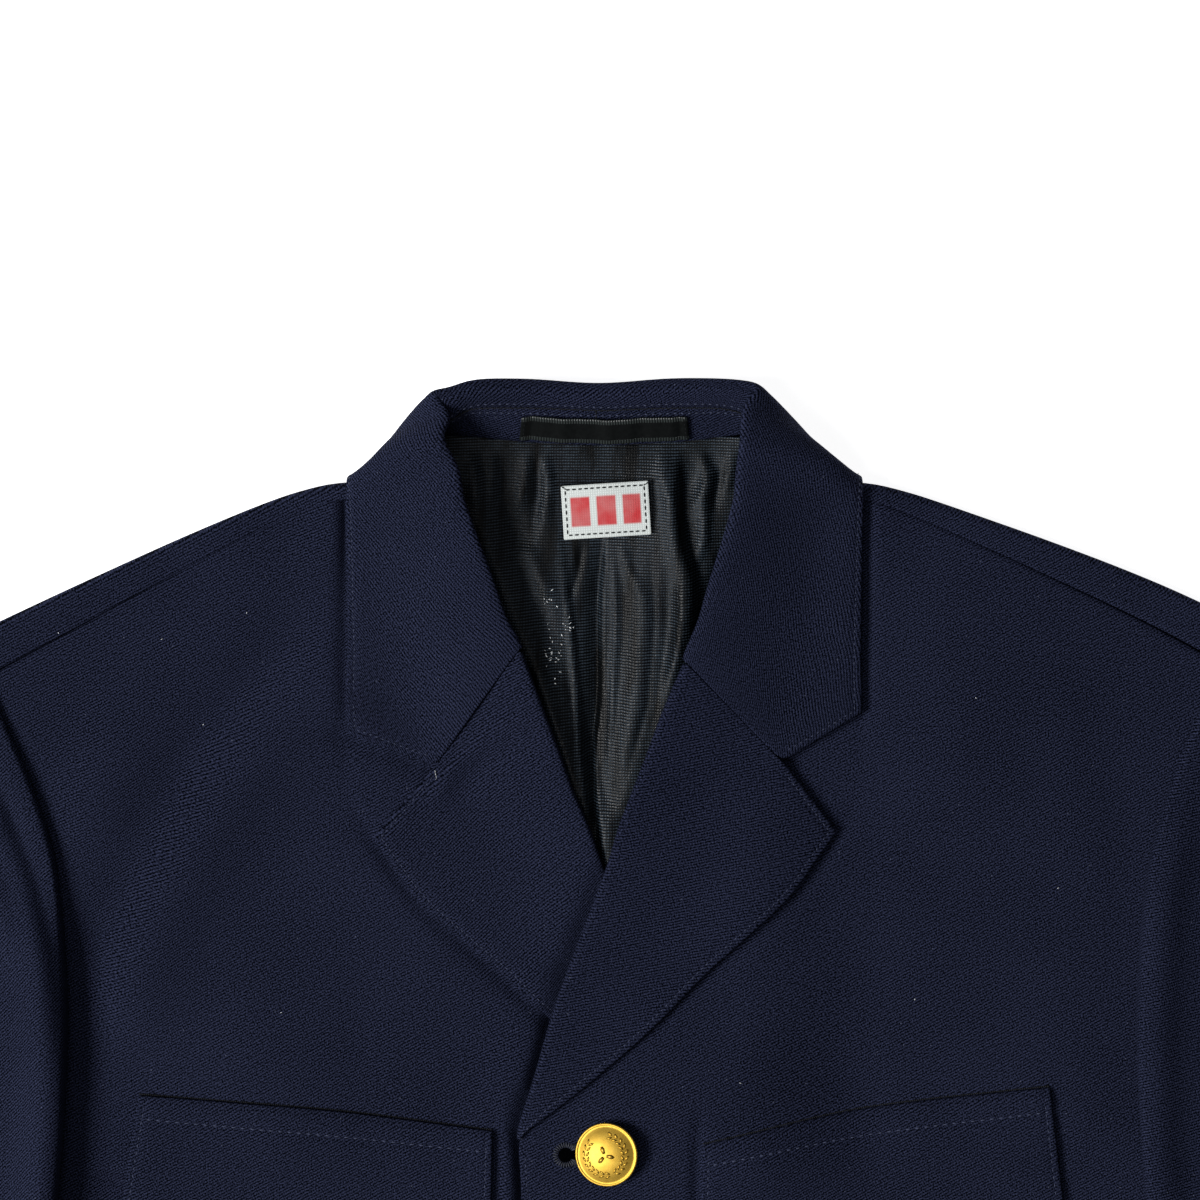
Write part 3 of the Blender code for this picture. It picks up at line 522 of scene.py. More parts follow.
def creases(table):
    """Height of a set of folds, as a function of x and y."""
    lines = []
    for height, width, *line in table:
        xs, ys = [p[0] for p in line], [p[1] for p in line]
        reach = FOLD_REACH * width
        lines.append((height, width, line, min(xs) - reach, max(xs) + reach, min(ys) - reach, max(ys) + reach))

    def at(x, y):
        total = 0.0
        for height, width, line, x_low, x_high, y_low, y_high in lines:
            if not (x_low < x < x_high and y_low < y < y_high):
                continue
            nearest, passed, last = 1e9, 0.0, len(line) - 1
            for i in range(last):
                (ax, ay), (bx, by) = line[i], line[i + 1]
                dx, dy = bx - ax, by - ay
                t = min(max(((x - ax) * dx + (y - ay) * dy) / (dx * dx + dy * dy), 0.0), 1.0)
                square = (x - ax - t * dx) ** 2 + (y - ay - t * dy) ** 2
                if square < nearest:
                    nearest, passed = square, (i + t) / last
            ends = smooth(0, FOLD_END, passed) * smooth(1, 1 - FOLD_END, passed)
            total += height * math.exp(-nearest / width**2) * (FOLD_TIP + (1 - FOLD_TIP) * ends)
        return total

    return at


chest_folds = creases(CHEST_FOLDS)
pressed_edges = creases(PRESSED_EDGES)
leaf_folds = creases(LEAF_FOLDS)
lapel_folds = creases(LAPEL_FOLDS)
lining_folds = creases(LINING_FOLDS)
sleeve_folds = creases(SLEEVE_FOLDS)
back_folds = creases(BACK_FOLDS)


def waver(x, y, size, height, part=0.0):
    """The slight unevenness of cloth that has been worn and pressed."""
    return height * noise.noise(Vector((x / size, y / size, part)))


def corner(name, side):
    x, y = CORNERS[name][0 if side == LEFT else 1]
    return Vector((x, y))


# --- heights shared by the layers; x here is signed, and side tells which front is meant ---

fold_reaches = {LEFT: column(ROLL_LINE, 1), RIGHT: column(ROLL_LINE, 2)}
roll_height = column(ROLL_HEIGHT)
side_seam = column(SIDE_SEAM)
front_armhole = column(FRONT_ARMHOLE)
back_armhole = column(BACK_ARMHOLE)
neckline_width = column(NECKLINE)
lap_edge = column(LAP_EDGE)
shoulder_edge = column(SHOULDER, 1)
shoulder_strip = column(SHOULDER, 2)
pleat_line = column(PLEAT)
lining_curl = column(LINING_CURL)


def neck_lift(x, y):
    """The back of the collar leaf lies under the neck of the garment and lifts it."""
    return COLLAR_LIFT * smooth(*NECK_LIFT_X, abs(x)) * smooth(*NECK_LIFT_Y, y)


def rise(x, y, side):
    """How much the fold of collar and lapel lifts the layers near it."""
    t = min(max((side * x - fold_reaches[side](y)) / ROLL_REACH, 0.0), 1.0)
    return roll_height(y) * (1 - t) ** 2 * (1 + t)


def overlap(x, y, side):
    """The left front climbs over the right one and, above the break, over its lapel."""
    if side == RIGHT:
        return 0.0
    height = OVERLAP_RISE + OVERLAP_RISE_UPPER * smooth(*OVERLAP_UPPER_Y, y)
    return height * smooth(*OVERLAP_X, x) * smooth(*OVERLAP_Y, y)


def bell(distance, inner_width, outer_width=None):
    """1 at distance 0, falling off over a width, which may be another one where the distance is positive."""
    width = inner_width if distance < 0 or outer_width is None else outer_width
    return math.exp(-((distance / width) ** 2))


def beside_lap(x, y, side):
    """The lower front banks up to the edge over it and dips beside it, and a button presses the upper one in."""
    if side == RIGHT:
        upper = smooth(BREAK - LAP_BLEND, BREAK + LAP_BLEND, y)
        edge = lap_edge(y) * (1 - upper) + fold_reaches[LEFT](y) * upper
        hollow = LAP_HOLLOW * bell(x - edge, LAP_HOLLOW_WIDTH, LAP_HOLLOW_INSIDE)
        bank = LAP_BANK * bell(x - edge + LAP_BANK_PLACE, LAP_BANK_WIDTH, LAP_HOLLOW_WIDTH)
        return (bank - hollow) * smooth(*LAP_BANK_Y, y)
    number = round((BUTTON_TOP - y) / BUTTON_STEP)
    if not 0 <= number < BUTTON_COUNT:
        return 0.0
    square = (x - BUTTON_LINE) ** 2 + (y - BUTTON_TOP + BUTTON_STEP * number) ** 2
    return -BUTTON_HOLLOW * math.exp(-square / BUTTON_RADIUS**2)


def front_height(x, y, side):
    height = FRONT_MIDDLE + neck_lift(x, y) + rise(x, y, side) + overlap(x, y, side)
    return height + chest_folds(x, y) + beside_lap(x, y, side) + waver(x, y, *FRONT_WAVER)


def support(x, y):
    """1 where the sleeve lies on the body, 0 where it lies beside it."""
    return smooth(*SUPPORT_X, abs(x) - side_seam(y))


def sleeve_height(x, y, side):
    lifted = SLEEVE_HEAD_SHARE + (1 - SLEEVE_HEAD_SHARE) * smooth(*SLEEVE_RESTS_Y, y)
    resting = SLEEVE_TOP_MIDDLE + SLEEVE_SUPPORT * SLEEVE_SETTLED * support(x, y) * lifted
    return resting + sleeve_folds(side * x, y) * smooth(*SLEEVE_FOLDS_Y, y) + waver(side * x, y, *SLEEVE_WAVER)


def lining_base(x, y):
    """Where the lining rests in the neck, lifted clear of the back.

    It rises to the wearer's left as far as its curl, and a little at the right. The middle pleat leaves a
    hollow.
    """
    roll = fold_reaches[LEFT](y)
    curl = lining_curl(y)
    right_roll = fold_reaches[RIGHT](y)
    rising = LINING_RISE * smooth(-4, roll + 6, x) * smooth(curl + 4, curl, x) * smooth(*LINING_RISEN_Y, y)
    bank = LINING_BANK * smooth(15 - right_roll, 1 - right_roll, x)
    beside = x - pleat_line(y) + PLEAT_EDGE
    hollow = PLEAT_HOLLOW * bell(beside, PLEAT_HOLLOW_WIDTH, PLEAT_EDGE) * smooth(*PLEAT_Y, y)
    open_half = min(roll, right_roll)
    lift = LINING_LIFT * smooth(*LINING_LOW_END_Y, y) * smooth(*LINING_TOP_END_Y, y)
    lift *= smooth(open_half + 5, open_half - 3, abs(x))
    return LINING_MIDDLE + neck_lift(x, y) + lift + (rising + bank - hollow) * smooth(*LINING_LEVEL_Y, y)


def lining_height(x, y):
    seam = LINING_SEAM_RISE + LINING_SIDE_RISE * smooth(*LINING_SEAM_X, abs(x))
    height = lining_base(x, y) + seam * smooth(*LINING_SEAM_Y, y)
    return height + (lining_folds(x, y) + waver(x, y, *LINING_WAVER)) * smooth(*LINING_INSIDE_Y, y)


# --- making the pieces ---

UP = Vector((0, 0, 1))
# the way the inside of the collar faces
INWARD = Vector((0, -0.6, 1))
# how much of its height counts as length up the garment
WEAVE_LEAN = 0.3
# how flat a stitch is
STITCH_FLATNESS = 0.7


def in_world(point):
    """From the garment's layout in millimetres to the part's frame in metres, the shoulders laid askew."""
    x, y, z = point
    middle = -(TOP_OF_FOLD + FRONT_HEM) / 2
    askew = SHOULDER_UP[LEFT if x > 0 else RIGHT] * smooth(*ASKEW_X, abs(x)) * smooth(*ASKEW_Y, y)
    return Vector((x, y + middle + askew, z)) / 1000


def mesh_from(bm, name, smooth_shaded=True):
    """The mesh that bm holds; bm is freed."""
    mesh = bpy.data.meshes.new(name)
    bm.to_mesh(mesh)
    bm.free()
    if smooth_shaded:
        mesh.shade_smooth()
    return mesh


def add_bead(bm, placed):
    """A round grain a millimetre across, then placed and stretched by the matrix."""
    bmesh.ops.create_icosphere(bm, subdivisions=1, radius=0.0005, matrix=placed)


def add_piece(name, mesh, finish, node=None):
    made = bpy.data.objects.new(name, mesh)
    made.data.materials.append(finish)
    bpy.context.scene.collection.objects.link(made)
    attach(made, "root")
    if node:
        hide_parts(node)
    return made


def arc_lengths(points):
    """Distance along a row of points, from its middle one."""
    passed = [0.0]
    for a, b in zip(points, points[1:]):
        passed.append(passed[-1] + (b - a).length)
    middle = passed[len(passed) // 2]
    return [d - middle for d in passed]


def cloth(name, place, across, down, wall, finish, node=None, keep=None, grain=0.0, follow=False, lean=0,
          from_column=None):
    """A grid with a column for each value of across and a row for each of down, at place(u, v), with a wall.

    Its weave runs at grain degrees in plan, or along the grid's own lines if follow. Lean is the side whose
    rolled edges face the middle, where height counts as length so that the weave isn't stretched. With
    from_column, length is measured across each row from that column instead.
    """
    bm = bmesh.new()
    bmesh.ops.create_grid(bm, x_segments=len(across) - 1, y_segments=len(down) - 1, size=0.5)
    columns = {v: round((v.co.x + 0.5) * (len(across) - 1)) for v in bm.verts}
    rows = {v: round((v.co.y + 0.5) * (len(down) - 1)) for v in bm.verts}
    spots = {}
    for v in bm.verts:
        v.co = in_world(place(across[columns[v]], down[rows[v]]))
        spots[columns[v], rows[v]] = v.co.copy()
    turn = Matrix.Rotation(math.radians(grain), 2)
    if follow:
        along = arc_lengths([spots[i, len(down) // 2] for i in range(len(across))])
        over = [arc_lengths([spots[i, j] for j in range(len(down))]) for i in range(len(across))]
        flat = {v: turn @ Vector((along[columns[v]], over[columns[v]][rows[v]])) for v in bm.verts}
    elif from_column is not None:
        side = 1 if spots[len(across) // 2, len(down) // 2].x > 0 else -1
        lengths = {}
        for j in range(len(down)):
            row = arc_lengths([spots[i, j] for i in range(len(across))])
            start = spots[from_column, j].x - side * row[from_column]
            lengths[j] = [start + side * d for d in row]
        flat = {v: turn @ Vector((lengths[rows[v]][columns[v]], v.co.y)) for v in bm.verts}
    else:
        flat = {v: turn @ (v.co.xy + Vector((lean, WEAVE_LEAN)) * v.co.z) for v in bm.verts}
    weave = bm.loops.layers.uv.new("weave")
    for face in bm.faces:
        for loop in face.loops:
            loop[weave].uv = flat[loop.vert]
    if keep:
        cut = [f for f in bm.faces if not all(keep(across[columns[v]], down[rows[v]]) for v in f.verts)]
        bmesh.ops.delete(bm, geom=cut, context="FACES")
    made = add_piece(name, mesh_from(bm, name), finish, node)
    wall_modifier = made.modifiers.new("wall", "SOLIDIFY")
    wall_modifier.thickness = wall / 1000
    wall_modifier.offset = 0
    rounding = made.modifiers.new("rounding", "SUBSURF")
    rounding.levels = rounding.render_levels = 1
    return made


def on_surface(place, u, v, lift, facing=UP):
    """Point of a piece moved out by lift on the side that faces the given way, and the way out."""
    step = 0.004
    point = Vector(place(u, v))
    normal = (Vector(place(u + step, v)) - point).cross(Vector(place(u, v + step)) - point).normalized()
    if normal.dot(facing) < 0:
        normal = -normal
    return point + normal * lift, normal


def row_on(place, us, vs, lift, facing=UP):
    """Path on a piece for each of us or of vs, whichever is a list."""
    pairs = [(u, vs) for u in us] if isinstance(us, list) else [(us, v) for v in vs]
    return [on_surface(place, u, v, lift, facing) for u, v in pairs]


def add_stitches(bm, path, pitch, length, width):
    """Threads along a path of (point, normal) pairs, one every pitch, each half sunk in the cloth."""
    passed = [0.0]
    for (a, _), (b, _) in zip(path, path[1:]):
        passed.append(passed[-1] + (b - a).length)
    count = int(passed[-1] / pitch)
    for number in range(count):
        middle = (number + 0.5) * passed[-1] / count
        i = min(max(bisect.bisect_right(passed, middle) - 1, 0), len(path) - 2)
        t = (middle - passed[i]) / max(passed[i + 1] - passed[i], 1e-9)
        point = path[i][0].lerp(path[i + 1][0], t)
        ahead = (path[i + 1][0] - path[i][0]).normalized()
        normal = path[i][1]
        aside = normal.cross(ahead).normalized()
        turned = Matrix((ahead, aside, normal)).transposed().to_4x4()
        size = Matrix.Diagonal((length, width, width * STITCH_FLATNESS, 1))
        add_bead(bm, Matrix.Translation(in_world(point)) @ turned @ size)


def stitching(name, paths, finish, pitch=2.4, length=1.4, width=0.45):
    bm = bmesh.new()
    for path in paths:
        add_stitches(bm, path, pitch, length, width)
    return add_piece(name, mesh_from(bm, name), finish)


# --- materials ---

# at a scale of 1 the Wave texture repeats once in this many metres
WAVE_REPEAT = 0.314159
# sizes of the patterns are in millimetres
WALE, WEFT_BREAK = 1.04, 0.95
WALE_ANGLE = 27.0
TWILL_FIBRE_SIZE, TWILL_PATCH_SIZE, TWILL_CLOUD_SIZE = 0.5714, 29.41, 71.43
# what each thing adds to the height of the twill, where the weft crosses the wales and where it doesn't
TWILL_WALES, TWILL_BREAKS, TWILL_CROSSED, TWILL_FIBRE, TWILL_CLOUDS = 0.4845, 0.255, 0.136, 2.4, 0.25
# pale flecks: distance between them, their radius as a share of it, and how much they show
FLECK_SPACING, FLECK_RADIUS, FLECK_SHARE = 6.667, 0.035, 0.25
LINING_RIB, LINING_DASH, LINING_SLUB = 1.12, 1.0, 2.381
# how far the dashes break the ribs, and what the slubs add to their height
LINING_BROKEN, LINING_SLUBBED = 0.55, 0.5
# the lining's rib crests above this height are painted grey as glints, and long streaks of painted highlight and
# shade over them stand in for folds
LINING_BLACK = 0.58
STREAK_WIDTH, STREAK_LENGTH = 6.667, 45.45
# half the smooth middle of the ribbon, in metres
RIBBON_SATIN_HALF = 0.0034
RIBBON_RIB, RIBBON_FLOAT = 1.0, 1.667
TAPE_THREAD, TAPE_STAIN = 0.9, 8.333
# middle and width of each bar on the label, in half label widths, and their half height
LABEL_BARS = ((-0.58, 0.42), (0.02, 0.42), (0.6, 0.42))
LABEL_BAR_HALF = 0.52
PRINT_FADED = 0.65
BRASS_RUB = 2.381
THREAD_TWIST, HOLE_SHADE_GRAIN, PAPER_GRAIN = 1.111, 0.8333, 3.333


def colour(hexed):
    """sRGB hex to linear."""
    channels = [int(hexed[i : i + 2], 16) / 255 for i in (1, 3, 5)]
    return (*(c / 12.92 if c <= 0.04045 else ((c + 0.055) / 1.055) ** 2.4 for c in channels), 1.0)


def fill(tree, made, inputs):
    """Gives a node its inputs: each is a number, a hex colour or the socket that feeds it."""
    for key, value in inputs.items():
        if isinstance(value, bpy.types.NodeSocket):
            tree.links.new(value, made.inputs[key])
        else:
            made.inputs[key].default_value = colour(value) if isinstance(value, str) else value


def node(tree, kind, inputs=None, out=0, **settings):
    """Adds a node with its settings and links, and gives back one of its outputs."""
    made = tree.nodes.new("ShaderNode" + kind)
    for key, value in settings.items():
        setattr(made, key, value)
    fill(tree, made, inputs or {})
    return made.outputs[out]


def grain(size):
    """Scale at which a noise has about one spot in that many millimetres."""
    return 1000 / size


def bands(period):
    """Scale at which the Wave texture repeats once in that many millimetres."""
    return WAVE_REPEAT / (period / 1000)


def new_material(name, **values):
    made = bpy.data.materials.new(name)
    made.use_nodes = True
    shader = made.node_tree.nodes["Principled BSDF"]
    fill(made.node_tree, shader, {key.replace("_", " "): value for key, value in values.items()})
    return made, made.node_tree, shader


def finished(made, tree, shader, base, height=None, strength=0.5, depth=0.2):
    """The material with its colour, and raised by a height that is depth millimetres from 0 to 1."""
    fill(tree, shader, {"Base Color": base})
    if height:
        raised = node(tree, "Bump", {"Height": height, "Strength": strength, "Distance": depth / 1000})
        fill(tree, shader, {"Normal": raised})
    return made


def speckled(name, size, low, high, **values):
    """A plain finish whose colour wanders from low to high, in spots of that many millimetres."""
    made, tree, shader = new_material(name, **values)
    place = node(tree, "TexCoord", out="Object")
    spots = node(tree, "TexNoise", {"Vector": place, "Scale": grain(size)}, "Fac")
    tint = node(tree, "Mix", {"Factor": spots, "A": low, "B": high}, "Result", data_type="RGBA")
    return finished(made, tree, shader, tint)


def navy_wool_twill():
    """Wool and polyester uniform twill, piece dyed navy and pressed: matt, its wales lit along their tops.

    Real wales are about 0.5 mm apart, too fine to show at this distance, so they are drawn at about 1 mm.
    """
    made, tree, shader = new_material(
        "navy_wool_twill", Roughness=0.85, Specular_IOR_Level=0.02, Sheen_Weight=0.015, Sheen_Roughness=0.4,
        Sheen_Tint="#8f9cc8")
    weave = node(tree, "UVMap", uv_map="weave")
    turned = node(tree, "Mapping", {"Vector": weave, "Rotation": (0, 0, -math.radians(WALE_ANGLE))})
    uneven = {"Vector": turned, "Detail": 1.0, "Detail Scale": 3.0}
    wales = node(tree, "TexWave", {**uneven, "Scale": bands(WALE), "Distortion": 0.9}, "Fac", bands_direction="Y")
    breaks = node(tree, "TexWave", {**uneven, "Scale": bands(WEFT_BREAK), "Distortion": 1.6}, "Fac")
    fibre = node(tree, "TexNoise", {"Vector": weave, "Scale": grain(TWILL_FIBRE_SIZE), "Detail": 1.0}, "Fac")
    patch = node(tree, "TexNoise", {"Vector": weave, "Scale": grain(TWILL_PATCH_SIZE), "Detail": 1.0}, "Fac")
    cloud = node(tree, "TexNoise", {"Vector": weave, "Scale": grain(TWILL_CLOUD_SIZE), "Detail": 3.0}, "Fac")
    speckle = node(tree, "Math", {0: fibre, 1: TWILL_FIBRE, 2: -TWILL_FIBRE / 2}, operation="MULTIPLY_ADD")
    crossing = node(tree, "Math", {0: patch, 1: TWILL_CROSSED}, operation="MULTIPLY")
    crossed = node(tree, "Math", {0: breaks, 1: crossing, 2: speckle}, operation="MULTIPLY_ADD")
    broken = node(tree, "Math", {0: breaks, 1: TWILL_BREAKS, 2: TWILL_WALES}, operation="MULTIPLY_ADD")
    height = node(tree, "Math", {0: wales, 1: broken, 2: crossed}, operation="MULTIPLY_ADD")
    clouds = node(tree, "Math", {0: cloud, 1: TWILL_CLOUDS, 2: -TWILL_CLOUDS / 2}, operation="MULTIPLY_ADD")
    worn = node(tree, "Math", {0: height, 1: clouds}, operation="ADD")
    lit = node(tree, "Mix", {"Factor": worn, "A": "#000104", "B": "#343952"}, "Result", data_type="RGBA")
    away = node(tree, "TexVoronoi", {"Vector": weave, "Scale": grain(FLECK_SPACING)}, "Distance", feature="F1")
    inside = node(tree, "Math", {0: away, 1: FLECK_RADIUS}, operation="LESS_THAN")
    flecks = node(tree, "Math", {0: inside, 1: FLECK_SHARE}, operation="MULTIPLY")
    flecked = node(tree, "Mix", {"Factor": flecks, "A": lit, "B": "#8a90a8"}, "Result", data_type="RGBA")
    return finished(made, tree, shader, flecked, height)


def black_lining_satin():
    """Black viscose lining, woven with fine cross ribs: deep black with a soft grey gloss on its folds. Its rib
    crests are painted grey as glints, and long noise streaks paint highlight and shade of folds over them.

    Real ribs are about 0.4 mm apart, too fine to show at this distance, so they are drawn at about 1.1 mm.
    """
    made, tree, shader = new_material("black_ribbed_lining_satin", Specular_IOR_Level=0.19)
    weave = node(tree, "UVMap", uv_map="weave")
    slub = node(tree, "TexNoise", {"Vector": weave, "Scale": grain(LINING_SLUB), "Detail": 2.0}, "Fac")
    wavy = {"Vector": weave, "Scale": bands(LINING_RIB), "Distortion": 1.1, "Detail": 1.0, "Detail Scale": 2.0}
    ribs = node(tree, "TexWave", wavy, "Fac", bands_direction="Y")
    short = {"Vector": weave, "Scale": bands(LINING_DASH), "Distortion": 3.2, "Detail": 2.0, "Detail Scale": 1.5}
    dashes = node(tree, "TexWave", short, "Fac")
    held = node(tree, "Math", {0: dashes, 1: LINING_BROKEN, 2: LINING_BROKEN}, operation="MULTIPLY_ADD")
    broken = node(tree, "Math", {0: ribs, 1: held}, operation="MULTIPLY")
    height = node(tree, "Math", {0: slub, 1: LINING_SLUBBED, 2: broken}, operation="MULTIPLY_ADD")
    # long noise streaks: painted highlight and shade that stand in for folds of the lining
    drawn = node(tree, "Mapping", {"Vector": weave, "Scale": (grain(STREAK_WIDTH), grain(STREAK_LENGTH), 1.0)})
    streak = node(tree, "TexNoise", {"Vector": drawn, "Scale": 1.0, "Detail": 3.0, "Distortion": 0.6}, "Fac")
    streaks = {"Value": streak, "From Min": 0.34, "From Max": 0.66, "To Min": 0.15, "To Max": 3.0}
    painted_fold_light = node(tree, "MapRange", streaks)
    # rib crests above LINING_BLACK are painted grey as glints, brighter and darker along the painted streaks
    above = node(tree, "Math", {0: height, 1: LINING_BLACK}, operation="SUBTRACT")
    lit = node(tree, "Math", {0: above, 1: painted_fold_light}, operation="MULTIPLY")
    tint = node(tree, "Mix", {"Factor": lit, "A": "#000000", "B": "#353f49"}, "Result", data_type="RGBA")
    smoother = {"Value": broken, "From Min": 0.2, "From Max": 0.7, "To Min": 0.42, "To Max": 0.28}
    fill(tree, shader, {"Roughness": node(tree, "MapRange", smoother)})
    return finished(made, tree, shader, tint, height, 0.8)


def black_ribbon():
    """Black grosgrain-edged satin ribbon: smooth across its middle, with ribs along its two edges; the rib crests
    are painted grey as glints, and the middle is mottled with painted sheen.
    """
    made, tree, shader = new_material("black_satin_ribbon", Roughness=0.34, Specular_IOR_Level=0.3)
    weave = node(tree, "UVMap", uv_map="weave")
    from_middle = node(tree, "Math", {0: node(tree, "SeparateXYZ", {"Vector": weave}, "Y")}, operation="ABSOLUTE")
    at_edge = node(tree, "Math", {0: from_middle, 1: RIBBON_SATIN_HALF}, operation="GREATER_THAN")
    ribs = node(tree, "TexWave", {"Vector": weave, "Scale": bands(RIBBON_RIB)}, "Fac")
    ribbed = node(tree, "Math", {0: ribs, 1: at_edge}, operation="MULTIPLY")
    turned = node(tree, "Mapping", {"Vector": weave, "Rotation": (0, 0, math.radians(50))})
    satin = node(tree, "TexNoise", {"Vector": turned, "Scale": grain(RIBBON_FLOAT), "Detail": 2.0}, "Fac")
    # the satin middle mottled from black to dark grey: painted sheen
    painted_float_sheen = node(tree, "Mix", {"Factor": satin, "A": "#010202", "B": "#121515"}, "Result", data_type="RGBA")
    # edge rib crests painted grey: painted glints
    tint = node(tree, "Mix", {"Factor": ribbed, "A": painted_float_sheen, "B": "#363c3b"}, "Result", data_type="RGBA")
    return finished(made, tree, shader, tint, ribbed, 0.6, 0.3)


def white_woven_tape():
    """White cotton tape, plain woven, greyed by wear, with three plain red bars printed across it."""
    made, tree, shader = new_material("white_woven_tape", Roughness=0.9, Specular_IOR_Level=0.2, Sheen_Weight=0.1)
    weave = node(tree, "UVMap", uv_map="weave")
    threads = {"Vector": weave, "Scale": bands(TAPE_THREAD)}
    warp, weft = (node(tree, "TexWave", threads, "Fac", bands_direction=way) for way in "XY")
    woven = node(tree, "Math", {0: warp, 1: weft}, operation="MULTIPLY")
    stain = node(tree, "TexNoise", {"Vector": weave, "Scale": grain(TAPE_STAIN), "Detail": 3.0}, "Fac")
    greying = node(tree, "Math", {0: stain, 1: 0.35}, operation="MULTIPLY")
    white = node(tree, "Mix", {"Factor": woven, "A": "#ccd3d0", "B": "#f3f8f6"}, "Result", data_type="RGBA")
    greyed = node(tree, "Mix", {"Factor": greying, "A": white, "B": "#b3b6b3"}, "Result", data_type="RGBA")
    bars = node(tree, "Attribute", out="Fac", attribute_name="printed")
    faded = node(tree, "Math", {0: stain, 1: 0.5, 2: PRINT_FADED}, operation="MULTIPLY_ADD")
    inked = node(tree, "Math", {0: bars, 1: faded}, operation="MULTIPLY")
    red = node(tree, "Mix", {"Factor": inked, "A": greyed, "B": "#c23a3e"}, "Result", data_type="RGBA")
    return finished(made, tree, shader, red, woven)


def gilt_brass():
    """Stamped brass button, gilt and lacquered, rubbed satin: warm yellow, paler where it is worn."""
    made, tree, shader = new_material("gilt_brass", Metallic=1.0, Roughness=0.52)
    place = node(tree, "TexCoord", out="Object")
    rub = node(tree, "TexNoise", {"Vector": place, "Scale": grain(BRASS_RUB), "Detail": 4.0}, "Fac")
    tint = node(tree, "Mix", {"Factor": rub, "A": "#c79d3a", "B": "#dfba52"}, "Result", data_type="RGBA")
    return finished(made, tree, shader, tint, rub, 0.2)


def thread(name, dark, pale):
    """Twisted polyester sewing thread: a little glossier than the cloth, its twist too fine to show; its pale
    spots are partly painted sheen.
    """
    return speckled(name, THREAD_TWIST, dark, pale, Roughness=0.55, Specular_IOR_Level=0.2, Sheen_Weight=0.03)


def shaded_inside():
    """Painted shade: a near black, unlit finish for the flat sheet that stands in for the inside of a buttonhole.
    """
    return speckled("buttonhole_painted_shade", HOLE_SHADE_GRAIN, "#000000", "#050507", Roughness=0.95,
                    Specular_IOR_Level=0.0)


def pale_paper():
    """Matt white background paper, brightly lit."""
    return speckled("white_background_paper", PAPER_GRAIN, "#fbfbfb", "#ffffff", Roughness=0.9,
                    Specular_IOR_Level=0.1, Emission_Color="#ffffff", Emission_Strength=0.85)


# --- back ---

SHOULDER_TURN = 2.15
TURN_STEPS = 3
STRIP_STEPS = 2
# the two sides of the shoulder seam are pressed together, which leaves a fine groove
SEAM_LAP = 0.5
NECK_POINT, SHOULDER_POINT = SHOULDER[0][0], SHOULDER[-1][0]
back_neckline = curve([0.0, 30.0, 54.0, NECK_POINT], [-21.7, -20.2, -18.0, -27.95])
back_row = by_row([(y,) for y in BACK_ROWS])


def shoulder_seam(x):
    return shoulder_edge(abs(x)) - shoulder_strip(abs(x))


def back_top(x):
    if abs(x) < NECK_POINT:
        return back_neckline(abs(x))
    return shoulder_edge(abs(x)) - BACK_WALL / 2 - SHOULDER_TURN


def back_point(x, v):
    """v counts the back's rows down from the shoulder; below 0 it turns over it to the seam on top."""
    if v >= 0:
        outer_y = back_row(v)
        left_over = (1 - v / (len(BACK_ROWS) - 1)) ** 2
        y = outer_y + (back_top(x) - back_top(SHOULDER_POINT)) * left_over
        half = back_armhole(outer_y) if outer_y > BACK_ARMHOLE[0][0] else side_seam(outer_y)
        spread = x / SHOULDER_POINT * half
        height = BACK_MIDDLE + neck_lift(spread, y) + back_folds(spread, y)
        return (spread, y, height)
    side = LEFT if x > 0 else RIGHT
    seam = shoulder_seam(x) - SEAM_LAP
    turned = min(-v / TURN_STEPS, 1) * math.pi
    y = back_top(x) + SHOULDER_TURN * math.sin(turned)
    y += (seam - back_top(x)) * max(-v - TURN_STEPS, 0) / STRIP_STEPS
    low = BACK_MIDDLE + neck_lift(x, y)
    high = front_height(x, y, side)
    return (x, y, low + (high - low) * (1 - math.cos(turned)) / 2)


def build_back(finish):
    half = steps(7, 0, NECK_POINT)[:-1] + steps(22, NECK_POINT, SHOULDER_POINT)
    columns_across = [-x for x in reversed(half[1:])] + half
    down = steps(4, -5.0, -3.0)[:-1] + steps(7, -3.0, 0.0)[:-1] + fine([row for row in BACK_ROWS], 9.0)

    def keep(x, v):
        return v >= -1e-6 or abs(x) >= NECK_POINT - 1e-6

    return cloth("back_panel", back_point, columns_across, down, BACK_WALL, finish, "back", keep)


# --- fronts ---

SIDE_TURN = 2.2
SIDE_STEPS = 3
LAPEL_TURN = LAPEL_OVER_FRONT / 2
# the roll lines are those of the cloth's face, so the middle of its wall lies a little further out
FOLD_PULL = 0.9
# how much further than the seam the front's edge stays inside the lapel's fold
FRONT_TUCKED = 0.3
# shares of the way across that the stitching of a front's edge needs, as far as the field, and its row
FRONT_EDGE_LINES = [0.0, 0.0025, 0.0052, 0.0085, 0.012, 0.017, 0.024]
FRONT_STITCH_ROW = 0.0085
FRONT_GROOVE_END = 0.1
# row sizes of the grid above and below LAST_FINE_ROW
FINE_ROW, COARSE_ROW = 4.4, 11.0
SIDE_DROP = 0.7
# rows over which the slope of the shoulder seam passes into the front
SHOULDER_ROWS = 5
front_row_inner = by_row(FRONT_ROWS, 0)
front_row_outer = by_row(FRONT_ROWS, 1)


def front_inner(y, side):
    """Inner edge of a front, outwards from the middle: neckline, then fold of the lapel, then front edge."""
    neck = fold_reaches[LEFT](y) + neckline_width(y)
    fold = fold_reaches[side](y) + LAPEL_TURN + SEAM + FRONT_TUCKED
    edge = lap_edge(y) - (2 * BUTTON_LINE if side == RIGHT else 0)
    upper = fold + (neck - fold) * smooth(*NECKLINE_Y, y)
    return edge + (upper - edge) * smooth(BREAK - LAP_BLEND, BREAK + 2, y)


def front_outer(y):
    return front_armhole(y) if y > FRONT_ARMHOLE[0][0] else side_seam(y)


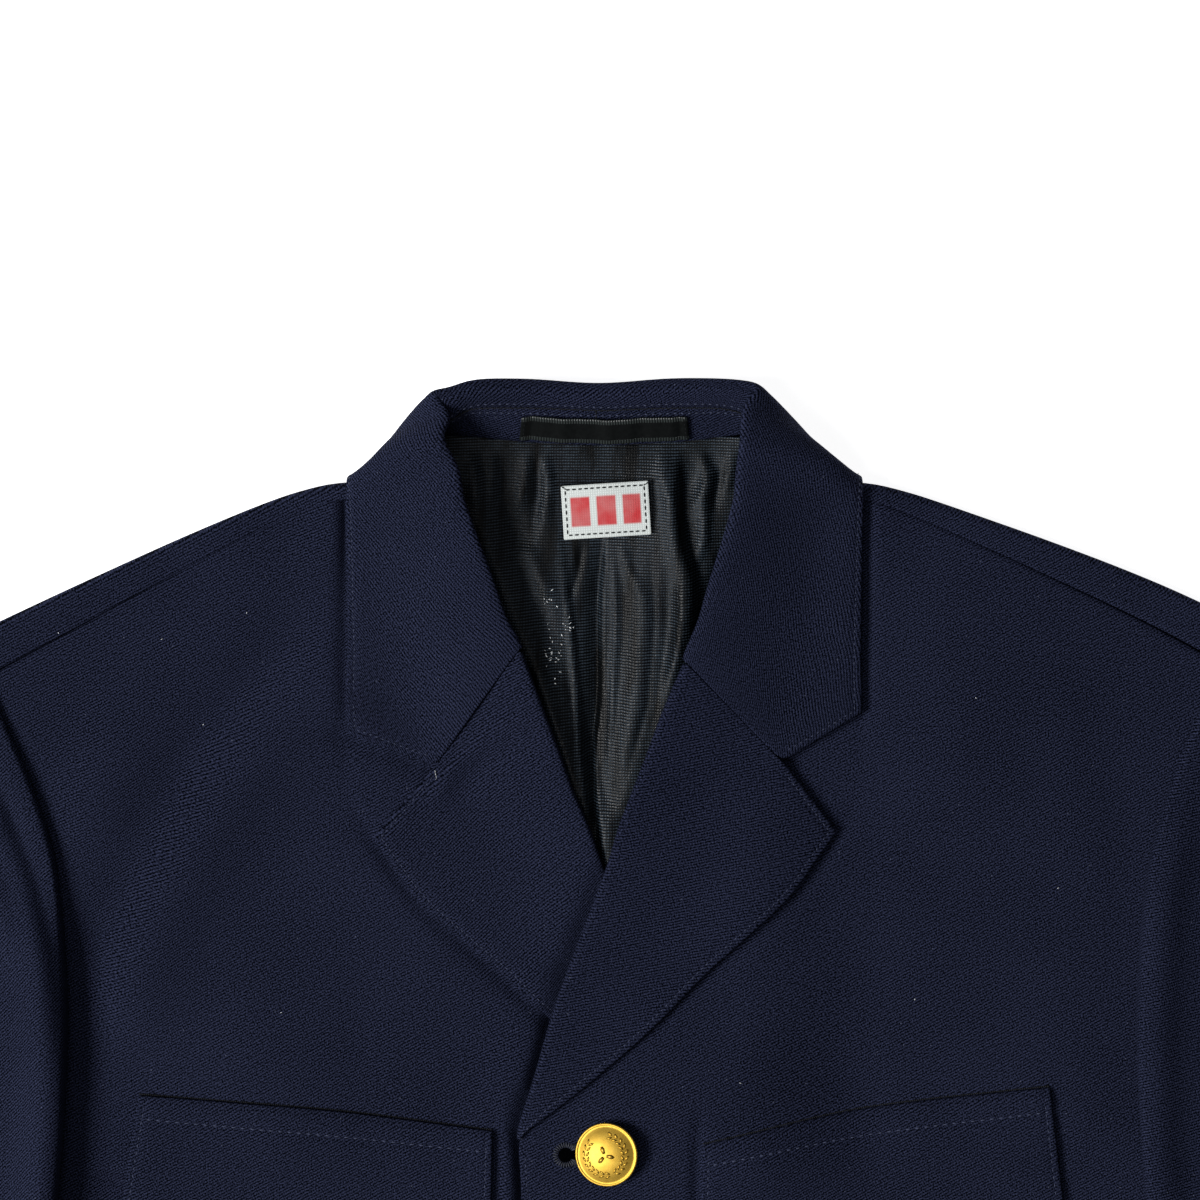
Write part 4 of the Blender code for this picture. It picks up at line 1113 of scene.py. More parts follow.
def front_plan(u, v, side):
    """Point of a front in plan, u from the inner to the outer edge and v a row number."""
    inner_y, outer_y = front_row_inner(v), front_row_outer(v)
    inner = Vector((front_inner(inner_y, side), inner_y))
    outer = Vector((front_outer(outer_y) - SIDE_TURN, outer_y))
    point = inner.lerp(outer, u)
    straight = FRONT_ROWS[0][0] * (1 - u) + FRONT_ROWS[0][1] * u
    along_seam = NECK_POINT + (SHOULDER_POINT - NECK_POINT) * u
    point.y += (shoulder_seam(along_seam) + SEAM_LAP - straight) * smooth(SHOULDER_ROWS, 0, v)
    return point


def front_place(side):
    """The surface of a front; u above 1 turns down its side, closed below the underarm."""

    def at(u, v):
        point = front_plan(min(max(u, 0.0), 1.0), v, side)
        x = point.x
        z = front_height(side * x, point.y, side) + pressed_edges(side * x, point.y)
        if point.y < BREAK and u < FRONT_GROOVE_END:
            width = front_outer(point.y) - front_inner(point.y, side)
            z += groove(u * width) * smooth(BREAK, BREAK - LAP_BLEND, point.y)
        if u > 1:
            step = u - 1
            turned = min(step / (SIDE_STEPS - 1), 1) * math.pi / 2
            closed = smooth(*SIDE_CLOSED_Y, point.y)
            x += SIDE_TURN * (math.sin(turned) * closed + step / SIDE_STEPS * (1 - closed))
            z -= closed * (SIDE_TURN * (1 - math.cos(turned)) + SIDE_DROP * max(step - SIDE_STEPS + 1, 0))
        return (side * x, point.y, z)

    return at


def build_front(side, name, finish, stitch):
    place = front_place(side)
    start = FRONT_EDGE_LINES[-1]
    field = steps(62, start, 0.5)[1:] + steps(20, 0.5, 1.0)[1:]
    if side == RIGHT:
        field = steps(46, start, 0.25)[1:] + steps(24, 0.25, 0.5)[1:] + steps(16, 0.5, 1.0)[1:]
    across = FRONT_EDGE_LINES + field + [1.0 + i / 2 for i in range(1, 2 * SIDE_STEPS + 1)]
    places = [(a + b) / 2 for a, b in FRONT_ROWS]
    down = [v for v in fine(places, FINE_ROW) if v <= LAST_FINE_ROW]
    down += [v for v in fine(places, COARSE_ROW) if v > LAST_FINE_ROW]
    made = cloth(f"front_panel_{name}", place, across, down, FRONT_WALL, finish, f"front_{name}",
                 lean=side)
    rows = steps(260, BREAK_ROW + 0.45, len(FRONT_ROWS) - 1.02)
    edge_row = row_on(place, FRONT_STITCH_ROW, rows, FRONT_WALL / 2 + STITCH_RISE)
    stitching(f"front_edge_stitches_{name}", [edge_row], stitch)
    return made


# --- lapels ---

lapel_row_y = by_row(LAPEL_ROWS, 0)
lapel_edge_x = by_row(LAPEL_ROWS, 1)
lapel_edge_y = by_row(LAPEL_ROWS, 2)
LAPEL_LAST = len(LAPEL_ROWS) - 1
GORGE_GAP = 0.1
# how far the narrow lower end of a lapel settles into the front, over its last rows
LAPEL_SINK = 1.7
LAPEL_SINK_ROWS = 1.6
# rows over which the gorge's bend, and the height of its start, pass into the field
GORGE_ROWS, GORGE_START_ROWS = 4, 3
LAPEL_TOP_DEPTH = 16.0
# lengths of a lapel's row between which its edge stitching comes in
LAPEL_STITCHED = (5, 16)
# distance from the fold at which the folds of the field are whole
LAPEL_SMOOTH = 8
LAPEL_GRAIN = 16.0
LAPEL_TOP_LINES = [0.0, 0.04, 0.085, 0.14, 0.2, 0.29]
LAPEL_TOP_STITCH = 0.14


def gorge_share(side):
    gorge, notch, point = corner("gorge", side), corner("notch", side), corner("lapel_point", side)
    return (notch - gorge).length / ((notch - gorge).length + (point - notch).length)


def lapel_sunk(v):
    return LAPEL_SINK * smooth(LAPEL_LAST - LAPEL_SINK_ROWS, LAPEL_LAST, v)


def lapel_plan(share, v, side):
    """Point of a lapel in plan: share runs from its fold, 0, to its edge, 1; v counts rows from the gorge."""
    gorge, notch, point = corner("gorge", side), corner("notch", side), corner("lapel_point", side)
    turn_at = gorge_share(side)
    down = (notch - gorge).normalized()
    apart = Vector((down.y, -down.x)) * GORGE_GAP
    shift = point - corner("lapel_point", LEFT)
    fold_y = lapel_row_y(v) + (gorge.y - CORNERS["gorge"][0][1]) * smooth(GORGE_START_ROWS, 0, v)
    edge = Vector((lapel_edge_x(v), lapel_edge_y(v))) + shift * smooth(LAPEL_LAST, 0, v)
    if side == RIGHT:
        edge.x -= 2 * BUTTON_LINE * smooth(1, LAPEL_LAST, v)
    inner = Vector((fold_reaches[side](fold_y) + LAPEL_TURN, fold_y))
    at_point = inner.lerp(edge, share)
    if share <= turn_at:
        top = gorge.lerp(notch, share / turn_at) + apart
    else:
        top = (notch + apart).lerp(point, (share - turn_at) / (1 - turn_at))
    bend = top - gorge.lerp(point, share)
    return at_point + bend * smooth(GORGE_ROWS, 0, v)


def lapel_place(side):
    def at(u, v):
        """u below 0 turns under the fold, 0 to 1 is the field, and above 1 the stitched edge in millimetres."""
        inner, edge = lapel_plan(0.0, v, side), lapel_plan(1.0, v, side)
        length = max((edge - inner).length, 1.0)
        share = in_band(max(u, 0.0), length)
        p = lapel_plan(share, v, side)
        z = front_height(side * p.x, p.y, side)
        if u >= 0:
            z += lapel_folds(side * p.x, p.y) * smooth(0, LAPEL_SMOOTH, share * length)
            z += groove((1 - share) * length) * smooth(*LAPEL_STITCHED, length)
            if share > gorge_share(side):
                z += groove(v * LAPEL_TOP_DEPTH)
            return (side * p.x, p.y, z + LAPEL_OVER_FRONT - lapel_sunk(v))
        turned = -u * math.pi
        x = p.x - (LAPEL_TURN - FOLD_PULL) * math.sin(turned)
        return (side * x, p.y, z + (LAPEL_TURN - lapel_sunk(v) / 2) * (1 + math.cos(turned)))

    return at


def build_lapel(side, name, finish, stitch):
    place = lapel_place(side)
    turn_at = gorge_share(side)
    top = lapel_plan(1.0, 0.0, side) - lapel_plan(0.0, 0.0, side)
    corner_u = turn_at / (1 - EDGE_BAND / top.length)
    across = steps(7, -1.0, 0.0)[:-1] + steps(12, 0.0, corner_u)[:-1] + steps(9, corner_u, 1.0) + band_lines()
    down = LAPEL_TOP_LINES + [v for v in fine([r[2] for r in LAPEL_ROWS], 3.4) if v > 0.35]
    made = cloth(f"lapel_facing_{name}", place, across, down, LAPEL_WALL, finish, f"lapel_{name}",
                 grain=side * LAPEL_GRAIN, lean=side)
    lift = LAPEL_WALL / 2 + STITCH_RISE
    edge_u = 1 + EDGE_BAND - STITCH_INSET
    outer = row_on(place, edge_u, steps(160, LAPEL_TOP_STITCH + 0.01, LAPEL_LAST - 0.35), lift)
    free = row_on(place, steps(40, corner_u + 0.03, edge_u), LAPEL_TOP_STITCH, lift)
    stitching(f"lapel_stitches_{name}", [outer, free], stitch)
    return made


# --- collar ---

SEAM_LINE, TURN, UNDER_FOLD, FOLD, OVER_FOLD, MIDDLE, EDGE = range(7)
# how far outside the fold its two sides lie, and how much higher the leaf is at its middle and at its edge
FOLD_NEAR, LEAF_CROWN, LEAF_EDGE_UP = 0.6, 1.5, 0.3
# at the gorge: how far down it the fold's sides lie, how far inside, and where the seam and the turn are
GORGE_NEAR, GORGE_INSIDE, GORGE_SEAM, GORGE_TURN = 1.0, 1.6, 2.0, 0.7


def plain_height(x, y, side):
    """Height of a front without its folds, which the collar bridges at the neck."""
    return front_height(x, y, side) - chest_folds(x, y) - waver(x, y, *FRONT_WAVER)


def collar_stations(side):
    """For one half of the collar, the seven lines along it as lists of points, x outwards."""
    lines = [[row[i] for row in COLLAR_BACK] for i in range(7)]

    def resting(x, y, above):
        return (x, y, plain_height(side * x, y, side) + above)

    for fold_y, stand_width, seam_y, turn_width, middle, edge in COLLAR_SIDE:
        fold_x = fold_reaches[side](fold_y)
        near = fold_x + LEAF_TURN + FOLD_NEAR
        level = plain_height(side * near, fold_y, side)
        lines[SEAM_LINE].append(resting(fold_reaches[LEFT](seam_y) + stand_width, seam_y, 0))
        lines[TURN].append(resting(fold_x + turn_width, fold_y - 1, 0))
        lines[UNDER_FOLD].append((near, fold_y, level))
        lines[FOLD].append((fold_x, fold_y, level + LEAF_TURN))
        lines[OVER_FOLD].append((near, fold_y, level + 2 * LEAF_TURN))
        for line, (x, y, z) in ((MIDDLE, middle), (EDGE, edge)):
            over = LEAF_OVER_FRONT + (LEAF_CROWN if line == MIDDLE else LEAF_EDGE_UP)
            lines[line].append(resting(x, y, over) if z is None else (x, y, z))

    gorge, notch, point = (corner(name, side) for name in ("gorge", "notch", "collar_point"))
    down = (notch - gorge).normalized()
    near = gorge + down * (LEAF_TURN + GORGE_NEAR)
    inside = near + Vector((-down.y, down.x)) * GORGE_INSIDE
    level = plain_height(side * near.x, near.y, side)
    lines[SEAM_LINE].append((inside.x + GORGE_SEAM, inside.y, level))
    lines[TURN].append((inside.x + GORGE_TURN, inside.y, level))
    lines[UNDER_FOLD].append((inside.x, inside.y, level))
    lines[FOLD].append((gorge.x, gorge.y, level + LEAF_TURN))
    lines[OVER_FOLD].append((near.x, near.y, level + LEAF_OVER_FRONT))
    lines[MIDDLE].append(resting(notch.x, notch.y, LEAF_OVER_FRONT))
    lines[EDGE].append(resting(point.x, point.y, LEAF_OVER_FRONT))
    return lines


collar_curves = {side: [spline(line) for line in collar_stations(side)] for side, _ in SIDES}
COLLAR_LAST = len(COLLAR_BACK) + len(COLLAR_SIDE)
# how the collar as it lies differs from an even one: its fold dips at centre back, the neck is wider and the
# leaf reaches less far on the wearer's right, and the fold lies further out down the side of the neck
FOLD_DIP, FOLD_DIP_X, FOLD_DIP_WIDTH = 1.9, -2, 24
RIGHT_NECK_OUT = 4.2
RIGHT_NECK_DOWN = 2.6
RIGHT_LEAF_IN = 2.8
LEFT_LEAF_IN = 0.8
LEAF_DOWN = 3.0
FOLD_OUT = 1.5
FOLD_OUT_LOW, FOLD_OUT_LOW_Y, FOLD_OUT_LOW_HEIGHT = 1.0, -90, 14
# spans over which those come in, and at the neck where they go out again
FOLD_OUT_Y = (-32, -44)
NECK_OUT_X, NECK_OUT_X_END, NECK_OUT_Y = (26, 54), (86, 60), (-34, -14)
NECK_DOWN_X, NECK_DOWN_X_END, NECK_DOWN_Y = (48, 58), (72, 60), (-20, -8)
LEAF_IN_X, LEAF_IN_Y = (78, 94), (-122, -96)
LEAF_DOWN_X, LEAF_DOWN_Y = (66, 80), (-60, -34)
# w at the edge of the leaf, and the millimetres that one step of w and of the last station stand for
LEAF_LAST = 5
LEAF_EDGE_DEPTH, LEAF_END_DEPTH = 24.0, 26.0
# grid lines beside the edges of the leaf, and where its stitching runs
LEAF_BAND = [0.19, 0.135, 0.096, 0.062, 0.03, 0.0]
LEAF_STITCH, LEAF_END_STITCH = 0.096, 0.09
# the last station of the stand
STAND_END = 8.01


def collar_line(line, station):
    """Point on a line of the collar; the station is negative on the wearer's right."""
    side = LEFT if station >= 0 else RIGHT
    x, y, z = collar_curves[side][line](abs(station))
    if line in (UNDER_FOLD, FOLD, OVER_FOLD):
        y -= FOLD_DIP * bell(side * x - FOLD_DIP_X, FOLD_DIP_WIDTH)
        ended = smooth(COLLAR_LAST - 0.8, COLLAR_LAST, abs(station))
        out = FOLD_OUT + FOLD_OUT_LOW * bell(y - FOLD_OUT_LOW_Y, FOLD_OUT_LOW_HEIGHT)
        x += (out + (FOLD_PULL - out) * ended) * smooth(*FOLD_OUT_Y, y)
    if side == RIGHT:
        x += RIGHT_NECK_OUT * smooth(*NECK_OUT_X, x) * smooth(*NECK_OUT_X_END, x) * smooth(*NECK_OUT_Y, y)
        y -= RIGHT_NECK_DOWN * smooth(*NECK_DOWN_X, x) * smooth(*NECK_DOWN_X_END, x) * smooth(*NECK_DOWN_Y, y)
    if line in (MIDDLE, EDGE):
        x -= (RIGHT_LEAF_IN if side == RIGHT else LEFT_LEAF_IN) * smooth(*LEAF_IN_X, x) * smooth(*LEAF_IN_Y, y)
        y -= LEAF_DOWN * smooth(*LEAF_DOWN_X, x) * smooth(*LEAF_DOWN_Y, y)
    return Vector((side * x, y, z))


def leaf_point(station, w):
    """w runs from the seam inside the fold, 0, over the fold, 2, to the edge, 5."""
    points = [collar_line(line, station) for line in range(TURN, EDGE + 1)]
    point = spline(points)(w)
    ended = smooth(COLLAR_LAST - 0.5, COLLAR_LAST, abs(station))
    if ended and w > 3:
        straight = points[3].lerp(points[4], w - 3) if w <= 4 else points[4].lerp(points[5], w - 4)
        point = point.lerp(straight, ended)
    if w > 2.6:
        side = LEFT if station >= 0 else RIGHT
        on_chest = smooth(4.6, 6.2, abs(station)) * smooth(2.6, 3.4, w)
        moved = front_height(point.x, point.y, side) - plain_height(point.x, point.y, side)
        point.z += on_chest * (moved + leaf_folds(point.x, point.y))
        at_end = groove((COLLAR_LAST - abs(station)) * LEAF_END_DEPTH) * smooth(3.9, 4.2, w)
        point.z += groove((LEAF_LAST - w) * LEAF_EDGE_DEPTH) + at_end
    point.z = max(point.z, COLLAR_WALL / 2)
    return point


def stand_point(station, w):
    """w runs from the neck seam, 0, to the seam inside the fold, 1."""
    return collar_line(SEAM_LINE, station).lerp(collar_line(TURN, station), w)


def build_collar(finish, stitch, seam_shadow_thread):
    """The leaf with its band inside the neck, the stand, their stitching, and a row of black beads painted as the
    shadow in the ditch of their seam.
    """
    half = steps(46, 0.0, COLLAR_LAST - 0.26) + [COLLAR_LAST - d for d in LEAF_BAND]
    stations = [-s for s in reversed(half[1:])] + half
    across = steps(3, 0, 1)[:-1] + steps(10, 1, 3)[:-1] + steps(7, 3, 4)[:-1] + steps(6, 4, 4.74)
    across += [LEAF_LAST - d for d in LEAF_BAND]
    leaf = cloth("collar_top", leaf_point, stations, across, COLLAR_WALL, finish, "collar_leaf",
                 follow=True)
    stand_stations = [s for s in stations if abs(s) <= STAND_END]
    stand = cloth("collar_stand_band", stand_point, stand_stations, steps(7, -0.04, 1.05), STAND_WALL, finish,
                  "collar_stand", follow=True)
    lift, stand_lift = COLLAR_WALL / 2 + STITCH_RISE, STAND_WALL / 2 + STITCH_RISE
    last = COLLAR_LAST - LEAF_END_STITCH
    edge_row = row_on(leaf_point, steps(420, -last, last), LEAF_LAST - LEAF_STITCH, lift)
    ends = [row_on(leaf_point, sign * last, steps(30, 4.05, 4.9), lift) for sign in (1, -1)]
    stitching("collar_edge_stitches", [edge_row, *ends], stitch)
    # black beads along the seam between leaf and stand: painted shadow in its ditch
    ditch = row_on(leaf_point, steps(180, -6.6, 6.6), 0.0, lift - 0.1, INWARD)
    centre = row_on(stand_point, -0.075, steps(12, 0.5, 1.0), stand_lift, INWARD)
    stitching("collar_seam_shadow", [ditch, centre], seam_shadow_thread, pitch=0.7, length=1.0, width=0.5)
    beside = steps(180, -6.4, 6.4)
    above = row_on(leaf_point, beside, 0.28, lift, INWARD)
    below = row_on(stand_point, beside, 0.84, stand_lift, INWARD)
    stitching("collar_stand_stitches", [above, below], stitch, pitch=2.7, length=1.5, width=0.52)
    return leaf, stand


# the loop's slack at its middle, its two ripples (height, waves), and its folded ends (thickness, length)
LOOP_SLACK, LOOP_RIPPLES, LOOP_TAB = 0.9, ((0.35, 0.31), (0.14, 0.77)), (0.7, 2.8)
LOOP_ACROSS = (0.1, 0.8)


def build_hanger_loop(finish, stitch):
    """A flat ribbon on the stand, its two ends folded under."""
    reach = COLLAR_BACK[1][SEAM_LINE][0]
    middle, half = sum(LOOP_ENDS) / 2, (LOOP_ENDS[1] - LOOP_ENDS[0]) / 2

    def at(x, w):
        slack = LOOP_SLACK * (1 - ((x - middle) / half) ** 2)
        slack += sum(height * math.sin(x * waves) for height, waves in LOOP_RIPPLES)
        tab = LOOP_TAB[0] * smooth(half - LOOP_TAB[1] - 0.6, half - LOOP_TAB[1], abs(x - middle))
        lift = STAND_WALL / 2 + SEAM + RIBBON_WALL / 2 + slack + tab
        return on_surface(stand_point, x / reach, w, lift, INWARD)[0]

    made = cloth("hanger_ribbon", at, steps(60, *LOOP_ENDS), steps(6, *LOOP_ACROSS), RIBBON_WALL, finish,
                 "hanger_loop", follow=True)
    inset = LOOP_TAB[1] / 2
    rows = []
    for x in (LOOP_ENDS[0] + inset, LOOP_ENDS[1] - inset):
        rows.append(row_on(at, x, steps(12, 0.14, 0.76), RIBBON_WALL / 2, INWARD))
    stitching("hanger_ribbon_stitches", rows, stitch, pitch=1.6, length=1.2, width=0.4)
    return made


# --- inside the neck ---

lining_half = column(LINING_ROWS)


def build_lining(finish):
    def at(u, y):
        x = u * lining_half(y)
        return (x, y, lining_height(x, y))

    across = steps(26, -1, -0.3)[:-1] + steps(30, -0.3, 0.12)[:-1] + steps(32, 0.12, 1)
    down = steps(84, -18.5, -196.0)
    return cloth("back_lining", at, across, down, LINING_WALL, finish, "lining")


def label_place(u, v):
    """The label, stitched to the lining along its edges and bowed between them; u and v run from -1 to 1."""
    dx, dy = u * LABEL_SIZE[0] / 2, v * LABEL_SIZE[1] / 2
    x = LABEL_CENTRE[0] + dx * math.cos(LABEL_TILT) - dy * math.sin(LABEL_TILT)
    y = LABEL_CENTRE[1] + dy * math.cos(LABEL_TILT) + dx * math.sin(LABEL_TILT)
    bow = LABEL_BOW * math.cos(u * 2.2) + LABEL_WAVE * math.sin(3.0 * v + 2.0 * u)
    resting = LINING_MIDDLE + neck_lift(x, y) + LINING_WALL / 2 + SEAM + LABEL_OVER_LINING
    return (x, y, resting + LABEL_RISE * (1 + u) + bow)


def build_size_label(finish, stitch):
    across, down = steps(64, -1, 1), steps(24, -1, 1)
    made = cloth("size_tape", label_place, across, down, LABEL_WALL, finish, "size_label",
                 follow=True)
    printed = made.data.attributes.new("printed", "FLOAT", "POINT")
    for point, (v, u) in zip(printed.data, itertools.product(down, across)):
        inside = any(abs(u - middle) < wide / 2 for middle, wide in LABEL_BARS) and abs(v) < LABEL_BAR_HALF
        point.value = 1.0 if inside else 0.0
    rows = []
    for (u0, v0), (u1, v1) in zip(LABEL_STITCHED, LABEL_STITCHED[1:] + LABEL_STITCHED[:1]):
        row = [(u0 + (u1 - u0) * t, v0 + (v1 - v0) * t) for t in steps(20)]
        rows.append([on_surface(label_place, u, v, LABEL_WALL / 2) for u, v in row])
    stitching("size_tape_stitches", rows, stitch, pitch=2.3, length=2.0, width=0.7)
    return made


# --- sleeves ---

CAP_ROWS = len(CAP_UNDER) - 1
OUTER_TURN = (SLEEVE_TOP_MIDDLE - SLEEVE_UNDER_MIDDLE) / 2
# the inner edge stops above the under sleeve
INNER_TURN = OUTER_TURN - 0.7
SLEEVE_LEAST_TURN = 0.35 * INNER_TURN
# share of a fold's height that the inner edge comes down by, and the rows where the under sleeve begins
FOLD_TURNED = 0.8
UNDER_BEGINS = (4.6, 5.6)
# column of the top sleeve's grid where its weave is measured from, beside the inner edge
WEAVE_COLUMN = 4
SLEEVE_GRAIN = 12.0
SLEEVE_ROW, UNDER_ROW = 5.2, 9.0
sleeve_inner = spline([(x, y) for x, y, _, _ in SLEEVE])
sleeve_outer = spline([(x, y) for _, _, x, y in SLEEVE])
cap_edge = spline(CAP_UNDER)


def under_end(v):
    """Where the under half of the top sleeve ends: at the back's armhole, then at the seam near the fold."""
    if v <= CAP_ROWS:
        return cap_edge(v)
    return sleeve_outer(v) - Vector((SEAM_INSET + OUTER_TURN, 0))


def sleeve_top_place(side):
    """Inner edge turned down where u is below 0, top of the sleeve to 1, outer fold to 2, under half to 3."""

    def at(u, v):
        inner, outer = sleeve_inner(v), sleeve_outer(v)
        fold = outer - Vector((OUTER_TURN, 0))
        hem_in = inner + Vector((INNER_TURN, 0))
        if u < 0:
            z = sleeve_height(hem_in.x, hem_in.y, side)
            turned = -u * math.pi / 2
            x = hem_in.x - INNER_TURN * math.sin(turned)
            risen = max(sleeve_folds(side * hem_in.x, hem_in.y), 0.0) * smooth(*SLEEVE_FOLDS_Y, hem_in.y)
            on_front = front_height(side * inner.x, inner.y, side) + FRONT_WALL / 2 + SEAM + SLEEVE_WALL / 2
            to_front = max(z - on_front, SLEEVE_LEAST_TURN)
            drop = to_front + (INNER_TURN + FOLD_TURNED * risen - to_front) * smooth(*UNDER_BEGINS, v)
            return (side * x, hem_in.y, z - drop * (1 - math.cos(turned)))
        if u <= 1:
            p = hem_in.lerp(fold, u)
            return (side * p.x, p.y, sleeve_height(p.x, p.y, side))
        z_top, z_low = sleeve_height(fold.x, fold.y, side), SLEEVE_UNDER_MIDDLE
        if u <= 2:
            turned = (u - 1) * math.pi
            x = fold.x + OUTER_TURN * math.sin(turned)
            return (side * x, fold.y, z_low + (z_top - z_low) * (1 + math.cos(turned)) / 2)
        p = fold.lerp(under_end(v), u - 2)
        return (side * p.x, p.y, z_low)

    return at


def build_sleeve_top(side, name, finish):
    across = steps(5, -1.0, 0.0)[:-1] + steps(16, 0.0, 0.26)[:-1] + steps(14, 0.26, 1.0) + steps(8, 1, 2)[1:]
    across += steps(8, 2, 3)[1:]
    down = fine([(row[1] + row[3]) / 2 for row in SLEEVE], SLEEVE_ROW)
    return cloth(f"top_sleeve_{name}", sleeve_top_place(side), across, down, SLEEVE_WALL, finish,
                 f"sleeve_top_{name}", grain=side * SLEEVE_GRAIN, from_column=WEAVE_COLUMN)


# top edge of the under sleeve, from its inner end out: x, y
UNDER_TOP = ((204.6, -203.0), (221.0, -256.0), (245.0, -285.0), (275.5, -299.5), (326.0, -309.5), (367.0, -318.5))
# the rows between which its hollow top passes into the sleeve's own rows, and its inset from the inner fold
UNDER_FIRST, UNDER_WHOLE = 6.0, 9
UNDER_INSET = 0.6


def build_sleeve_under(side, name, finish):
    """From the inner fold across to the seam near the outer fold, hollowed at the underarm."""
    top = spline(UNDER_TOP)
    inset = Vector((SLEEVE_WALL / 2 + UNDER_INSET, 0))

    def across_at(u, v):
        return (sleeve_inner(v) + inset).lerp(under_end(v) - Vector((SEAM, 0)), u)

    def at(u, v):
        start = across_at(u, UNDER_FIRST)
        p = across_at(u, v) + (top(u * (len(UNDER_TOP) - 1)) - start) * smooth(UNDER_WHOLE, UNDER_FIRST, v)
        return (side * p.x, p.y, SLEEVE_UNDER_MIDDLE + SLEEVE_SUPPORT * support(p.x, p.y))

    down = [v for v in fine([(row[1] + row[3]) / 2 for row in SLEEVE], UNDER_ROW) if v >= UNDER_FIRST]
    return cloth(f"under_sleeve_{name}", at, steps(26), down, SLEEVE_WALL, finish,
                 f"sleeve_under_{name}")


# --- pockets ---

FLAP_ROW_INSET = 8.0
FLAP_DROOP = 5.0
FLAP_TOP_DROP = 0.9


def build_flap(side, name, finish, stitch, seam_shadow_thread):
    """A chest flap with its edge stitching, the row along its top, and a row of black beads painted as the shadow
    in the ditch of the seam above it.
    """
    named = {key: Vector(value[0 if side == LEFT else 1]) for key, value in FLAPS.items()}
    top = spline([named["inner_top"], named["middle_top"], named["outer_top"]])

    def at(u, v):
        width = (named["outer_top"] - named["inner_top"]).length
        depth = (named["inner_bottom"] - named["inner_top"]).length
        across, down = in_band(u, width, low=True), in_band(v, depth, low=True)
        lower = named["inner_bottom"].lerp(named["outer_bottom"], across)
        lower.y -= FLAP_DROOP * math.sin(math.pi * across)
        p = top(2 * across).lerp(lower, down)
        z = front_height(side * p.x, p.y, side) + FLAP_OVER_FRONT
        z += groove(across * width) + groove((1 - across) * width) + groove((1 - down) * depth)
        z += groove(down * depth, FLAP_ROW_INSET) + waver(side * p.x, p.y, *FLAP_WAVER) * smooth(0, 0.4, down)
        z -= FLAP_TOP_DROP * smooth(3.0, 0.0, down * depth)
        return (side * p.x, p.y, z)

    across = band_lines(False) + steps(32) + band_lines()
    depth_lines = band_lines(False) + [0.0, 0.03, 0.06, 0.085, 0.11, 0.15] + steps(9, 0.2, 1.0) + band_lines()
    made = cloth(f"chest_flap_{name}", at, across, depth_lines, FLAP_WALL, finish, f"flap_{name}")
    lift = FLAP_WALL / 2 + STITCH_RISE
    low_u, high_u = STITCH_INSET - EDGE_BAND, 1 + EDGE_BAND - STITCH_INSET
    depth = (named["inner_bottom"] - named["inner_top"]).length
    row_v = (FLAP_ROW_INSET - EDGE_BAND) / (depth - 2 * EDGE_BAND)
    top_row = row_on(at, [0.1 - EDGE_BAND] + steps(60) + [1 + EDGE_BAND - 0.1], row_v, lift)
    inner, outer = (row_on(at, u, [0.3 - EDGE_BAND] + steps(30) + [high_u], lift) for u in (low_u, high_u))
    lower = row_on(at, [low_u] + steps(60) + [high_u], high_u, lift)
    # black beads along the seam above the flap's top: painted shadow in its ditch
    seam = []
    for u in steps(80):
        p = top(2 * u) + Vector((0, 0.5))
        z = front_height(side * p.x, p.y, side) + FRONT_WALL / 2
        seam.append((Vector((side * p.x, p.y, z)), UP))
    stitching(f"chest_flap_seam_shadow_{name}", [seam], seam_shadow_thread, pitch=0.8, length=1.1, width=0.7)
    stitching(f"chest_flap_stitches_{name}", [top_row], stitch, pitch=3.5, length=2.2, width=0.6)
    edges = [inner, outer, lower]
    stitching(f"chest_flap_edge_stitches_{name}", edges, stitch, pitch=2.8, length=1.7)
    return made


# --- buttons and buttonholes ---

# button turned from its profile: radius, height, from the top of the dome down to the shank
BUTTON_PROFILE = (
    (0.0, 7.3),
    (2.5, 7.22),
    (5.0, 6.9),
    (7.3, 6.3),
    (9.2, 5.5),
    (10.3, 4.95),
    (10.95, 4.7),
    (11.2, 4.85),
    (11.5, 4.95),
    (11.85, 4.85),
    (BUTTON_RADIUS, 4.6),
    (BUTTON_RADIUS, 4.1),
    (11.6, 3.7),
    (10.6, 3.1),
    (3.0, 2.6),
    (3.0, 0.3),
    (0.0, 0.3),
)
BUTTON_TURN_STEPS = 72
# how far each button leans over on its shank, in degrees, where that moves it, and how it is turned
BUTTON_LEANS = (
    (-14.0, (0.2, 0.5, -0.9), 0.35),
    (6.0, (0, 0, -1.8), 0.7),
    (-9.0, (0, 0, -1.8), 1.0),
    (5.0, (0, 0, -1.8), 1.4),
)
LEAN_AXIS = Vector((-0.2, 1, 0)).normalized()
MERGE_DISTANCE = 0.00002
# the wreath: pairs of leaves up each side, its radius, the angles of its first pair and between pairs, in radians
LEAF_PAIRS = 9
WREATH_RADIUS = 7.4
WREATH_START, WREATH_STEP, LEAF_LEAN = 0.24, 0.29, 0.5
TREFOIL_RADIUS, TREFOIL_SIZE = 2.1, (3.6, 1.9)

dome_height = curve([r for r, _ in BUTTON_PROFILE[:6]], [z for _, z in BUTTON_PROFILE[:6]])


def button_base(number):
    y = BUTTON_TOP - BUTTON_STEP * (number - 1)
    return Vector((BUTTON_LINE, y, front_height(BUTTON_LINE, y, LEFT) + FRONT_WALL / 2))


def add_leaf(bm, angle, radius, lean, length=2.6, width=1.0):
    """One raised leaf of the wreath, lying on the dome."""
    x, y = radius * math.sin(angle), radius * math.cos(angle)
    placed = Matrix.Translation(Vector((x, y, dome_height(radius))) / 1000)
    placed = placed @ Matrix.Rotation(-angle + lean, 4, "Z") @ Matrix.Diagonal((length, width, 0.5, 1))
    add_bead(bm, placed)


